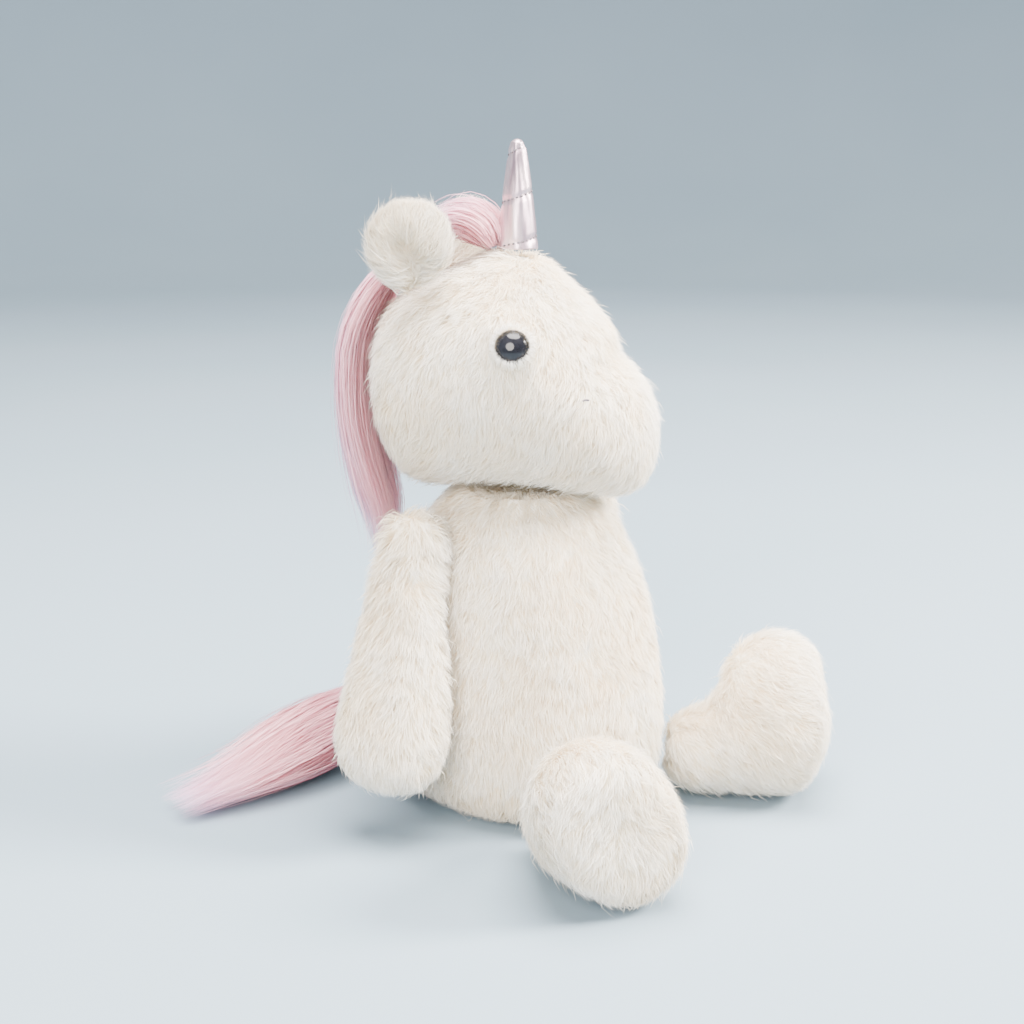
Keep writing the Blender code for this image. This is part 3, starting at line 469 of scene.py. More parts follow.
SIDES = (("left", 1.0), ("right", -1.0))
PILE_ROOM = 0.0028
SWELL = 0.0008
CLOTH_FRAMES = 20
SHALLOW_SHARE = 0.25
EYES = {}
for side_name, _side in SIDES:
    points = coordinates(NODES[f"eye_{side_name}"].data)
    washer = coordinates(NODES[f"eye_washer_{side_name}"].data).mean(axis=0)
    normal = unit((points.mean(axis=0) - washer)[None])[0]
    top = points[np.argmax((points - washer) @ normal)]
    EYES[side_name] = {"normal": normal, "base": top - normal * 0.0042}
HORN_LOW, HORN_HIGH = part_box("horn_cover")
HORN_AXIS = np.array([(HORN_LOW[0] + HORN_HIGH[0]) / 2.0, (HORN_LOW[1] + HORN_HIGH[1]) / 2.0])
HORN_BASE = HORN_LOW[2]
SHALLOW = [(eye["base"], 0.004, 0.014) for eye in EYES.values()]
SHALLOW.append((np.array([HORN_AXIS[0], HORN_AXIS[1], HORN_BASE]), 0.008, 0.020))
SKIN_PARTS = {
    "torso_skin": ["torso_front_left", "torso_front_right", "torso_back_left", "torso_back_right",
                   "seat_panel", "torso_stuffing", "neck_stuffing"],
    "head_skin": ["head_side_left", "head_side_right", "head_gusset", "head_back_panel", "muzzle_panel",
                  "head_stuffing"],
    "tab_skin": ["tail_tab"],
}
for side_name, _side in SIDES:
    for limb, parts in (("arm", ("arm_outer", "arm_inner", "arm_stuffing")),
                        ("leg", ("leg_upper", "leg_lower", "leg_stuffing", "sole")),
                        ("ear", ("ear_front", "ear_back"))):
        SKIN_PARTS[f"{limb}_skin_{side_name}"] = [f"{part}_{side_name}" for part in parts]

SKINS = {}
for skin_name, parts in SKIN_PARTS.items():
    SKINS[skin_name] = remeshed(skin_name, parts, 0.0025 if skin_name[:3] in ("ear", "tab") else 0.0035)
stuff(list(SKINS.values()))


def joint_ball(joint):
    """The centre of a limb's ball joint."""
    return np.array(JOINTS[joint]["pos_m"])


def ear_pinch(side_name, points, normals):
    """How near each point is to the tuck that is sewn into the front of the ear, from 0 to 1."""
    side = 1.0 if side_name == "left" else -1.0
    local = points - joint_ball(f"ear_{side_name}_fold")
    place = np.stack([local @ np.array([-0.643 * side, -0.766, 0.0]), local[:, 2]], axis=1)
    start, end = np.array([-0.0030, 0.0150]), np.array([0.0060, 0.0030])
    run = end - start
    share = np.clip((place - start) @ run / (run @ run), 0.0, 1.0)
    away = np.linalg.norm(place - start - share[:, None] * run, axis=1)
    return np.exp(-((away / 0.0032) ** 2)) * (normals @ np.array([0.743 * side, -0.624, 0.24]) > 0.0)


def sole_hollow(side_name, points):
    """How near each point is to the middle of the sole, from 0 to 1."""
    middle = coordinates(NODES[f"sole_{side_name}"].data).mean(axis=0) + np.array([0.0, 0.0, 0.006])
    return np.exp(-((np.linalg.norm(points - middle, axis=1) / 0.011) ** 2))


def shoulder_share(points):
    """How near each point is to a shoulder, from 0 to 1."""
    share = np.zeros(len(points))
    for side_name, _side in SIDES:
        away = np.linalg.norm(points - joint_ball(f"arm_{side_name}_raise"), axis=1)
        share = np.maximum(share, np.exp(-((away / 0.019) ** 4)))
    return share


SIDEWAYS = np.array([0.6428, -0.766, 0.0])
# Sideways push of each skin at given heights, and how far from the joint it starts and is full.
PUSHES = {
    "leg_skin_right": ((0.0, 0.0135, 0.022, 0.030, 0.045, 0.060),
                       (0.0085, 0.0062, 0.0042, 0.0022, 0.0, -0.0008), (0.018, 0.036)),
    "leg_skin_left": ((0.0, 0.010, 0.022, 0.032, 0.046, 0.060),
                      (-0.0016, -0.0004, 0.0022, 0.0026, -0.0020, -0.0052), (0.018, 0.036)),
    "arm_skin_right": ((0.025, 0.040, 0.055, 0.070, 0.090), (0.0034, 0.0032, 0.0024, 0.0010, 0.0),
                       (0.020, 0.040)),
}
WIDEN = 0.07
BRIDGE_HEIGHT = 0.1580


def lean_over(name, joint, points):
    """Leans a limb's skin sideways by height, as stuffing settles, and widens its far end a little."""
    heights, pushes, (start, full) = PUSHES[name]
    away = np.linalg.norm(points - joint_ball(joint), axis=1)
    share = np.clip((away - start) / (full - start), 0.0, 1.0)
    share = share * share * (3.0 - 2.0 * share)
    middle = (points[share > 0.9] @ SIDEWAYS).mean()
    push = np.interp(points[:, 2], heights, pushes) + WIDEN * (points @ SIDEWAYS - middle)
    return points + SIDEWAYS * (push * share)[:, None]


def press_bridge(points):
    """Presses the dip between forehead and muzzle into the head."""
    local = world_to_head(points)
    ahead = np.clip((local[:, 1] - 0.022) / 0.012, 0.0, 1.0)
    band = np.exp(-(((points[:, 2] - BRIDGE_HEIGHT) / 0.0065) ** 2))
    local[:, 1] -= 0.0042 * ahead * band
    return head_to_world(local)


SHOULDER_BALL = 0.0125
HIP_BALL = 0.0165
NECK_BALL = 0.042
POCKET_GAP = 0.0004
for skin_name, skin in SKINS.items():
    points = coordinates(skin.data)
    if skin_name == "head_skin":
        points = fit_ball(points, NECK, NECK_BALL + POCKET_GAP)
    if skin_name == "torso_skin":
        points = fit_ball(points, NECK, NECK_BALL - POCKET_GAP, points[:, 2] > 0.105)
        for side_name, _side in SIDES:
            points = fit_ball(points, joint_ball(f"arm_{side_name}_raise"), SHOULDER_BALL + POCKET_GAP)
            points = fit_ball(points, joint_ball(f"leg_{side_name}_swing"), HIP_BALL + POCKET_GAP)
    side_name = skin_name.rsplit("_", 1)[-1]
    if skin_name.startswith("ear"):
        facing = vertex_normals(skin.data)
        points -= facing * (0.0042 * ear_pinch(side_name, points, facing))[:, None]
    if skin_name == "head_skin":
        points = press_bridge(points)
    if skin_name in PUSHES:
        joint = f"leg_{side_name}_swing" if skin_name.startswith("leg") else f"arm_{side_name}_raise"
        points = lean_over(skin_name, joint, points)
    if skin_name.startswith("leg"):
        points -= vertex_normals(skin.data) * (0.0022 * sole_hollow(side_name, points))[:, None]
    points[:, 2] = np.maximum(points[:, 2], FLOOR_CLEARANCE)
    write_points(skin.data, points)
    subdivide(skin)


# ---- strand meshes
def strand_mesh(name, lines, outward, width, twist, values):
    """Ribbons along the lines: lines and outward are (strands, rows, 3), width and twist one per strand.

    values maps an attribute's name to one number per strand and row.
    """
    count, rows, _ = lines.shape
    tangent = unit(np.gradient(lines, axis=1))
    across = unit(np.cross(tangent, outward))
    lift = np.cross(across, tangent)
    across = across * np.cos(twist)[:, None, None] + lift * np.sin(twist)[:, None, None]
    share = np.linspace(0.0, 1.0, rows)
    taper = (1.0 - share ** 2.2) * (0.72 + 0.28 * np.minimum(share * 5.0, 1.0))
    half = across * (0.5 * width[:, None] * taper[None, :])[..., None]
    body = np.stack([lines - half, lines + half], axis=2)[:, :-1].reshape(count, -1, 3)
    points = np.concatenate([body, lines[:, -1:]], axis=1)
    points[..., 2] = np.maximum(points[..., 2], FLOOR_CLEARANCE)
    per = 2 * (rows - 1) + 1
    base = (np.arange(count) * per)[:, None]
    quads = np.concatenate([base + 2 * k + np.array([[0, 1, 3, 2]]) for k in range(rows - 2)])
    tips = base + np.array([[per - 3, per - 2, per - 1]])
    corners = np.concatenate([quads.ravel(), tips.ravel()])
    starts = np.concatenate([np.arange(len(quads)) * 4, len(quads) * 4 + np.arange(count) * 3])
    totals = np.concatenate([np.full(len(quads), 4), np.full(count, 3)])
    mesh = bpy.data.meshes.new(name)
    mesh.vertices.add(count * per)
    mesh.vertices.foreach_set("co", points.astype(np.float32).ravel())
    mesh.loops.add(len(corners))
    mesh.loops.foreach_set("vertex_index", corners.astype(np.int32))
    mesh.polygons.add(len(starts))
    mesh.polygons.foreach_set("loop_start", starts.astype(np.int32))
    mesh.polygons.foreach_set("loop_total", totals.astype(np.int32))
    mesh.update(calc_edges=True)
    for key, value in values.items():
        spread = np.repeat(value, 2, axis=1)[:, :-1]
        layer = mesh.attributes.new(key, "FLOAT", "POINT")
        layer.data.foreach_set("value", spread.astype(np.float32).ravel())
    mesh.shade_smooth()
    return mesh


class Surface:
    """A skin to grow pile on: area-weighted random spots, and the nearest spot to any point."""

    def __init__(self, skin):
        mesh = skin.data
        mesh.calc_loop_triangles()
        self.points = coordinates(mesh)
        triangles = np.empty(len(mesh.loop_triangles) * 3, np.int32)
        mesh.loop_triangles.foreach_get("vertices", triangles)
        self.triangles = triangles.reshape(-1, 3)
        self.normals = vertex_normals(mesh)
        self.tree = BVHTree.FromPolygons(self.points.tolist(), self.triangles.tolist())
        a, b, c = (self.points[self.triangles[:, k]] for k in range(3))
        self.areas = np.linalg.norm(np.cross(b - a, c - a), axis=1) / 2.0

    def spots(self, count, rng):
        """Random points on the skin with their smooth normals."""
        chosen = rng.choice(len(self.areas), size=count, p=self.areas / self.areas.sum())
        u, v = rng.random(count), rng.random(count)
        flip = u + v > 1.0
        u, v = np.where(flip, 1.0 - u, u), np.where(flip, 1.0 - v, v)
        weights = np.stack([1.0 - u - v, u, v], axis=1)[..., None]
        corners = self.triangles[chosen]
        point = np.sum(self.points[corners] * weights, axis=1)
        normal = unit(np.sum(self.normals[corners] * weights, axis=1))
        return point, normal

    def nearest(self, points):
        """The closest spots on the skin and their normals."""
        found_points = np.empty_like(points)
        found_normals = np.empty_like(points)
        for index, point in enumerate(points):
            place, normal, _face, _distance = self.tree.find_nearest(point)
            found_points[index] = place
            found_normals[index] = normal
        return found_points, found_normals


def grow(name, surface, body, tufts, per_tuft, length, comb, seed, spread=0.0024, height=0.0030,
         width=0.00029, clump=0.5, allowed=None, lift=None):
    """Pile on a skin: comb gives the combing direction, allowed drops tufts, lift scales the height."""
    rng = np.random.default_rng(seed)
    point, normal = surface.spots(tufts, rng)
    if allowed is not None:
        keep = allowed(point, normal)
        point, normal = point[keep], normal[keep]
    count = len(point)
    reach = length * rng.uniform(0.78, 1.12, count)
    turn = smooth_noise(point, 0.020, seed + 1) * 0.30 + rng.normal(0.0, 0.22, count)
    guide = [point]
    frames = [normal]
    ways = []
    steps = 4
    for _ in range(steps):
        way = flatten(comb(point, normal), normal)
        side = np.cross(normal, way)
        way = unit(way * np.cos(turn)[:, None] + side * np.sin(turn)[:, None])
        ways.append(way)
        point, normal = surface.nearest(point + way * (reach / steps)[:, None])
        guide.append(point)
        frames.append(normal)
    ways.append(ways[-1])
    guide, frames, ways = (np.stack(rows, axis=1) for rows in (guide, frames, ways))
    frames = unit(frames + np.roll(frames, 1, axis=1) * 0.4)
    frames[:, 0] = unit(frames[:, 0])

    strands = count * per_tuft
    tuft = np.repeat(np.arange(count), per_tuft)
    rows = 3
    share = np.linspace(0.0, 1.0, rows)[None, :] * rng.uniform(0.62, 1.0, strands)[:, None] * steps
    low = np.minimum(share.astype(int), steps - 1)
    part = (share - low)[..., None]

    def along(values):
        return values[tuft[:, None], low] * (1.0 - part) + values[tuft[:, None], low + 1] * part

    centre, up, way = along(guide), unit(along(frames)), unit(along(ways))
    side = np.cross(up, way)
    radius = spread * np.sqrt(rng.random(strands))
    angle = rng.uniform(0.0, 2.0 * math.pi, strands)
    t = share / steps
    shrink = 1.0 - clump * t ** 1.3
    rise = height * rng.uniform(0.55, 1.25, strands)
    wild = rng.random(strands) < 0.02
    rise = np.where(wild, rise * 1.5, rise)
    if lift is not None:
        rise = rise * lift(guide[:, 0])[tuft]
    tip_lift = rng.normal(0.0, 0.16, strands)
    profile = rise[:, None] * (1.0 - (1.0 - t) ** 2.4) * (1.0 + tip_lift[:, None] * t ** 2)
    drift = rng.normal(0.0, 0.0009, strands)[:, None] * t ** 1.5
    lines = (
        centre
        + side * ((radius * np.cos(angle))[:, None] * shrink + drift)[..., None]
        + way * ((radius * np.sin(angle))[:, None] * shrink)[..., None]
        + up * (profile - 0.0003)[..., None]
    )
    tuft_shade = rng.random(count)[tuft]
    shade = np.repeat(np.clip(0.6 * rng.random(strands) + 0.4 * tuft_shade, 0.0, 1.0)[:, None], rows, axis=1)
    # The strand's share along its length, 0 at the root, sets the pile's painted root shade.
    mesh = strand_mesh(name, lines, up, width * rng.uniform(0.7, 1.25, strands),
                       rng.uniform(-0.9, 0.9, strands), {"root_shade_fade": t, "shade": shade})
    return new_object(name, mesh, body, PILE)


def downwards(points, normals):
    """Combed straight down."""
    return np.array([0.0, 0.0, -1.0]) + 0.0 * normals


STRANDS = 11
SURFACES = {name: Surface(skin) for name, skin in SKINS.items()}


# ---- torso
def torso_comb(points, normals):
    """Down the body, drawn a little towards the middle of the belly."""
    inward = -points * np.array([1.0, 0.35, 0.0]) * 6.0
    way = np.array([0.0, 0.0, -1.0]) + inward * (normals[:, 1:2] < 0.0)
    level = np.abs(normals[:, 2:3]) > 0.8
    return np.where(level, points * np.array([1.0, 1.0, 0.0]) + 1e-4, way)


def torso_allowed(points, normals):
    """No pile under the seat or inside the limbs' pockets."""
    keep = points[:, 2] > 0.0025
    for side_name, _side in SIDES:
        for joint, radius in ((f"arm_{side_name}_raise", 0.0135), (f"leg_{side_name}_swing", 0.0175)):
            keep &= np.linalg.norm(points - joint_ball(joint), axis=1) > radius
    return keep


def torso_lift(points):
    """A little shorter pile where the head sits on the shoulders."""
    return np.clip((0.130 - points[:, 2]) / 0.02, 0.7, 1.0) * (1.0 + 0.9 * shoulder_share(points))


for number, part in enumerate(("front", "back")):
    grow(f"torso_pile_{part}", SURFACES["torso_skin"], "torso", 9600, STRANDS, 0.0078, torso_comb,
         11 + number, lift=torso_lift,
         allowed=lambda p, n, back=part == "back": torso_allowed(p, n) & ((p[:, 1] >= 0.0) == back))


# ---- head
def head_comb(points, normals):
    """Back and down from the nose, outwards from the crown, and down the cheeks."""
    local = world_to_head(points)
    forward = local[:, 1:2]
    down = np.array([0.0, 0.0, -1.0])
    back = -HEAD_FRONT
    muzzle = np.clip((forward - 0.015) / 0.03, 0.0, 1.0)
    crown = np.clip((local[:, 2:3] - 0.172) / 0.02, 0.0, 1.0)
    outward = unit(local[:, :1] * HEAD_LEFT + (forward - 0.004) * HEAD_FRONT)
    way = down + back * (0.10 + 0.55 * muzzle) + outward * crown * 0.9
    under = np.clip(-normals[:, 2:3] - 0.5, 0.0, 1.0)
    return way + back * under * 2.0 + 0.15 * outward


def head_allowed(points, normals):
    """No pile in the neck's cup, under the eyes or under the horn."""
    keep = np.linalg.norm(points - NECK, axis=1) > NECK_BALL + 0.0018
    for eye in EYES.values():
        keep &= np.linalg.norm(points - eye["base"], axis=1) > 0.0054
    away = np.linalg.norm(points[:, :2] - HORN_AXIS, axis=1)
    keep &= (away > 0.0050) | (points[:, 2] < 0.18)
    return keep


def head_lift(points):
    """Flatter pile round the eyes, and taller pile low on the jaw."""
    near = np.ones(len(points))
    for eye in EYES.values():
        distance = np.linalg.norm(points - eye["base"], axis=1)
        near = np.minimum(near, np.clip(distance / 0.012, 0.62, 1.0))
    jaw = np.clip((0.128 - points[:, 2]) / 0.012, 0.0, 1.0)
    return near * (1.0 + 0.35 * jaw)


for number, (part, chosen) in enumerate((("left", 1.0), ("right", -1.0))):
    grow(f"head_pile_{part}", SURFACES["head_skin"], "head", 9400, STRANDS, 0.0074, head_comb, 21 + number,
         allowed=lambda p, n, chosen=chosen: head_allowed(p, n) & (world_to_head(p)[:, 0] * chosen >= 0.0),
         lift=head_lift)


# ---- arms
for number, (side_name, _side) in enumerate(SIDES):
    grow(f"arm_pile_{side_name}", SURFACES[f"arm_skin_{side_name}"], f"arm_{side_name}", 2700, STRANDS,
         0.0078, downwards, 31 + number, lift=lambda points: 1.0 + 0.7 * shoulder_share(points))


# ---- legs
def leg_pile(side_name, seed):
    """Along the leg towards the toe and down its sides; short whorled pile on the sole."""
    hip = joint_ball(f"leg_{side_name}_swing")
    sole = coordinates(NODES[f"sole_{side_name}"].data).mean(axis=0)
    along = unit(((sole - hip) * np.array([1.0, 1.0, 0.0]))[None])[0]

    def comb(points, normals):
        front = np.clip((normals @ along - 0.55) / 0.2, 0.0, 1.0)[:, None]
        skin_way = along * 0.8 + np.array([0.0, 0.0, -0.6])
        sole_way = np.array([0.0, 0.0, -1.0]) + unit(points - sole) * 0.5
        return skin_way * (1.0 - front) + sole_way * front

    def flatter(points):
        forward = (points - hip) @ along
        return np.clip(1.25 - forward / 0.05 * 0.3, 0.9, 1.1)

    grow(f"leg_pile_{side_name}", SURFACES[f"leg_skin_{side_name}"], f"leg_{side_name}", 3000, STRANDS,
         0.0074, comb, seed, lift=flatter)


for number, (side_name, _side) in enumerate(SIDES):
    leg_pile(side_name, 41 + number)


# ---- ears
def ear_pile(side_name, seed):
    """Long loose pile that stands out all round the ear."""
    root = joint_ball(f"ear_{side_name}_fold")
    skin = SURFACES[f"ear_skin_{side_name}"]
    middle = skin.points.mean(axis=0)

    def comb(points, normals):
        return unit(points - root) * 0.8 + unit(points - middle) * 0.6 + np.array([0.0, 0.0, 0.1])

    def longer(points):
        _places, normals = skin.nearest(points)
        return 1.35 * (1.0 - 0.8 * ear_pinch(side_name, points, normals))

    grow(f"ear_pile_{side_name}", skin, f"ear_{side_name}", 1300, STRANDS, 0.0090, comb, seed, lift=longer)


for number, (side_name, _side) in enumerate(SIDES):
    ear_pile(side_name, 51 + number)


grow("tab_pile", SURFACES["tab_skin"], "tail", 420, STRANDS, 0.0070, downwards, 61)


# ---- finish skins
SKIN_BODIES = {"torso_skin": "torso", "head_skin": "head", "tab_skin": "tail"}
for side_name, _side in SIDES:
    for part in ("arm", "leg", "ear"):
        SKIN_BODIES[f"{part}_skin_{side_name}"] = f"{part}_{side_name}"
for skin_name, skin in SKINS.items():
    skin.data.materials.clear()
    skin.data.materials.append(BACKING)
    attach(skin, SKIN_BODIES[skin_name])
    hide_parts(*SKIN_PARTS[skin_name])


# ---- long hair
def spline(points, count):
    """A smooth curve through the points, sampled evenly by number."""
    points = np.asarray(points, float)
    padded = np.concatenate([[2.0 * points[0] - points[1]], points, [2.0 * points[-1] - points[-2]]])
    spots = np.linspace(0.0, len(points) - 1.0, count)
    low = np.minimum(spots.astype(int), len(points) - 2)
    t = (spots - low)[:, None]
    a, b, c, d = (padded[low + k] for k in range(4))
    square, cube = 2 * a - 5 * b + 4 * c - d, 3 * b - a - 3 * c + d
    return 0.5 * (2 * b + (c - a) * t + square * t ** 2 + cube * t ** 3)


def hair(name, path, side_way, body, count, rows, seed, tint_and_shade, starts, ends, width=0.00042, stray=0.09,
         wave=0.0015, locks=32, replaces=()):
    """Strands along a lock's path of (point, half width, half thickness), gathered into thinner locks.

    side_way is the lock's width direction. The colour function (across, along, depth) runs from pink to lavender;
    its lowest values give painted shade.
    """
    rng = np.random.default_rng(seed)
    fine = 60
    middle = spline([entry[0] for entry in path], fine)
    sizes = spline([[entry[1], entry[2], 0.0] for entry in path], fine)
    forward = unit(np.gradient(middle, axis=0))
    side = flatten(np.broadcast_to(np.asarray(side_way, float), middle.shape), forward)
    out = np.cross(side, forward)
    lock = rng.integers(0, locks, count)
    lock_across = rng.uniform(-1.0, 1.0, locks)
    lock_depth = rng.uniform(-1.0, 1.0, locks)
    across = np.clip(lock_across[lock] * 0.75 + rng.normal(0.0, 0.22, count), -1.0, 1.0)
    depth = np.clip(lock_depth[lock] * 0.6 + rng.normal(0.0, 0.35, count), -1.0, 1.0)
    begin = rng.uniform(starts[0], starts[1], count)
    finish = np.minimum(rng.uniform(ends[0], ends[1], count) + 0.06 * rng.normal(size=locks)[lock], 1.0)
    t = np.linspace(0.0, 1.0, rows)[None, :]
    place = (begin[:, None] + (finish - begin)[:, None] * t) * (fine - 1)
    low = np.clip(place.astype(int), 0, fine - 2)
    part = (place - low)[..., None]

    def along(values):
        return values[low] * (1.0 - part) + values[low + 1] * part

    centre, size, side, out = along(middle), along(sizes), unit(along(side)), unit(along(out))
    gather = 1.0 - 0.55 * t ** 2
    pace = rng.uniform(5.0, 8.0, locks)[lock][:, None]
    sway = wave * np.sin(t * pace + rng.uniform(0, 6.28, locks)[lock][:, None])
    stray_out = np.where(rng.random(count) < stray, rng.uniform(0.002, 0.006, count), 0.0)[:, None] * t ** 1.5
    a = across[:, None] * gather + lock_across[lock][:, None] * (1.0 - gather) * 0.9
    b = depth[:, None] * gather + lock_depth[lock][:, None] * (1.0 - gather) * 0.6
    limit = np.maximum(1.0, np.hypot(a, b))
    lines = (
        centre
        + side * (a / limit * size[..., 0] + sway + stray_out * np.sign(across)[:, None])[..., None]
        + out * (b / limit * size[..., 1] + stray_out * 0.6)[..., None]
    )
    outward = unit(side * a[..., None] * 0.6 + out * (b + np.sign(b) * 0.3)[..., None] + 1e-6)
    tints = np.clip(tint_and_shade(a, place / (fine - 1), b) + rng.normal(0.0, 0.07, count)[:, None], 0.0, 1.0)
    shade = np.repeat(rng.random(count)[:, None], rows, axis=1)
    mesh = strand_mesh(name, lines, outward, width * rng.uniform(0.6, 1.2, count),
                       rng.uniform(-0.8, 0.8, count), {"tint_and_shade": tints, "shade": shade})
    return new_object(name, mesh, body, HAIR, replaces)


def head_path(rows):
    """A lock's path over the head from rows of (distance back, height, half width, half thickness)."""
    return [(head_to_world([0.0, -back, height]), wide, thick) for back, height, wide, thick in rows]


MANE_PATH = [
    (0.0265, 0.1960, 0.0100, 0.0020),
    (0.0350, 0.1930, 0.0125, 0.0032),
    (0.0440, 0.1870, 0.0155, 0.0042),
    (0.0515, 0.1770, 0.0185, 0.0048),
    (0.0565, 0.1630, 0.0205, 0.0050),
    (0.0575, 0.1450, 0.0210, 0.0050),
    (0.0560, 0.1280, 0.0205, 0.0055),
    (0.0525, 0.1130, 0.0190, 0.0060),
    (0.0490, 0.1010, 0.0160, 0.0060),
    (0.0480, 0.0860, 0.0110, 0.0040),
]
hair("mane_hair", head_path(MANE_PATH), HEAD_LEFT, "head", 5200, 12, 61,
     lambda a, t, b: (0.34 + 0.36 * np.maximum(b, 0.0) * (0.3 + 0.7 * t) + 0.20 * t
                      - 0.20 * np.maximum(-b, 0.0)),
     starts=(0.0, 0.45), ends=(0.62, 1.05), wave=0.0018, replaces=["mane"])

FORELOCK_PATH = [
    (0.0080, 0.1955, 0.0080, 0.0035),
    (0.0110, 0.2000, 0.0105, 0.0065),
    (0.0150, 0.2032, 0.0115, 0.0078),
    (0.0205, 0.2042, 0.0115, 0.0078),
    (0.0265, 0.2015, 0.0100, 0.0065),
    (0.0320, 0.1960, 0.0080, 0.0035),
]
hair("forelock_hair", head_path(FORELOCK_PATH), HEAD_LEFT, "head", 1700, 9, 71,
     lambda a, t, b: 0.22 + 0.75 * np.clip(t - 0.25, 0.0, 1.0) + 0.1 * b,
     starts=(0.0, 0.25), ends=(0.6, 1.0), wave=0.0008, locks=14, replaces=["forelock"])

TAIL_PATH = [
    ((-0.0060, 0.0655, 0.0240), 0.0050, 0.0050),
    ((-0.0250, 0.0665, 0.0172), 0.0135, 0.0115),
    ((-0.0430, 0.0685, 0.0142), 0.0165, 0.0122),
    ((-0.0610, 0.0695, 0.0114), 0.0155, 0.0100),
    ((-0.0780, 0.0710, 0.0084), 0.0130, 0.0070),
    ((-0.0985, 0.0760, 0.0050), 0.0110, 0.0040),
]
# The tail's values stay near the darkest stop for most of its length: painted shade over its dusty pink, running
# to pink-lavender at the tips.
hair("tail_hair", [(np.array(spot), wide, thick) for spot, wide, thick in TAIL_PATH], (0.0, 1.0, 0.0), "tail",
     4600, 11, 81, lambda a, t, b: 0.02 + 0.74 * t ** 2.2 + 0.06 * b, starts=(0.0, 0.2), ends=(0.55, 1.0),
     replaces=["tail_lock"])


# ---- eyes
def lathe(profile, sides):
    """Points and faces of a turned shape from (radius, height) rings; the first and last are poles."""
    points = []
    for radius, height in profile:
        for k in range(sides):
            angle = 2.0 * math.pi * k / sides
            points.append((radius * math.cos(angle), radius * math.sin(angle), height))
    return points, ring_faces(len(profile), sides)


def build_eye(side_name):
    """A domed eye seated in the cloth."""
    eye = EYES[side_name]
    profile = [(0.0046, -0.0012), (0.0055, -0.0008), (0.0057, -0.0002)]
    for k in range(0, 14):
        tilt = 0.5 * math.pi * k / 14
        profile.append((0.0057 * math.cos(tilt), 0.0002 + 0.0040 * math.sin(tilt)))
    profile.append((0.0002, 0.0042))
    points, faces = lathe(profile, 48)
    turn = Vector(eye["normal"]).to_track_quat("Z", "Y").to_matrix().to_4x4()
    place = Matrix.Translation(Vector(eye["base"])) @ turn
    mesh = mesh_from(f"eye_dome_{side_name}", [place @ Vector(point) for point in points], faces)
    new_object(f"eye_dome_{side_name}", mesh, "head", EYE, [f"eye_{side_name}"])


def eye_fringe(side_name, seed):
    """Pile that leans in over the eye's rim, most of it from above."""
    eye = EYES[side_name]
    rng = np.random.default_rng(seed)
    count = 420
    turn = rng.uniform(0.0, 2.0 * math.pi, count)
    upper = np.clip(np.sin(turn), 0.0, 1.0)
    across = unit(np.cross(np.array([0.0, 0.0, 1.0]), eye["normal"])[None])[0]
    above = np.cross(eye["normal"], across)
    way = across * np.cos(turn)[:, None] + above * np.sin(turn)[:, None]
    slant = np.cross(eye["normal"], way) * rng.normal(0.0, 0.0006, count)[:, None]
    start = rng.uniform(0.0064, 0.0082, count)[:, None]
    end = (0.0057 - rng.uniform(0.0, 0.0006, count) - upper * rng.uniform(0.0, 0.0014, count))[:, None]
    tip = (rng.uniform(0.0028, 0.0036, count) + 0.0010 * upper)[:, None]
    lines = np.stack([
        eye["base"] + way * start + eye["normal"] * rng.uniform(0.0, 0.0012, count)[:, None],
        eye["base"] + way * (0.5 * (start + end) + 0.0004) + eye["normal"] * tip * 0.86 + slant * 0.5,
        eye["base"] + way * end + eye["normal"] * tip + slant,
    ], axis=1)
    outward = np.broadcast_to(eye["normal"], lines.shape)
    shade = np.repeat(rng.random(count)[:, None], 3, axis=1)
    # Low values at the fringe's roots give them some of the pile's painted root shade.
    root_shade_fade = np.repeat(np.array([[0.2, 0.7, 1.0]]), count, axis=0)
    mesh = strand_mesh(f"eye_fringe_{side_name}", lines, outward, rng.uniform(0.00020, 0.00034, count),
                       rng.uniform(-0.6, 0.6, count), {"root_shade_fade": root_shade_fade, "shade": shade})
    new_object(f"eye_fringe_{side_name}", mesh, "head", PILE)


for number, (side_name, _side) in enumerate(SIDES):
    build_eye(side_name)
    eye_fringe(side_name, 91 + number)


# ---- stitches
def tube(path, radius, sides=8):
    """A round thread with rounded ends along a list of points."""
    path = np.asarray(path, float)
    tangent = unit(np.gradient(path, axis=0))
    helper = np.array([0.0, 0.0, 1.0]) if abs(tangent[0, 2]) < 0.9 else np.array([1.0, 0.0, 0.0])
    side = flatten(np.broadcast_to(helper, path.shape), tangent)
    other = np.cross(tangent, side)
    share = np.linspace(-1.0, 1.0, len(path))
    thick = radius * np.sqrt(np.clip(1.0 - share ** 8, 0.05, 1.0))
    points = []
    for row in range(len(path)):
        for k in range(sides):
            angle = 2.0 * math.pi * k / sides
            way = side[row] * math.cos(angle) + other[row] * math.sin(angle)
            points.append(path[row] + thick[row] * way)
    return points, ring_faces(len(path), sides)


def join_shapes(shapes):
    """Several point and face lists as one."""
    points = []
    faces = []
    for some_points, some_faces in shapes:
        faces.extend(tuple(index + len(points) for index in face) for face in some_faces)
        points.extend(some_points)
    return points, faces


# ---- horn
HORN_PROFILE = [(0.0, 0.0069), (0.0084, 0.0061), (0.0177, 0.0050), (0.0270, 0.0037), (0.0325, 0.0029),
                (0.0347, 0.0022), (0.0355, 0.0012), (0.0358, 0.0002)]
HORN_HEIGHT = 0.0358
STITCH_LINES = [(0.0022, -0.14, 0.5), (0.0170, -0.5, 0.5), (0.0325, -0.5, 0.12)]
STITCH_RISE = 0.0084
STITCH_FRONT = math.radians(220.0)


def horn_radius(height):
    """The horn's radius at a height over its base."""
    return np.interp(height, [row[0] for row in HORN_PROFILE], [row[1] for row in HORN_PROFILE])


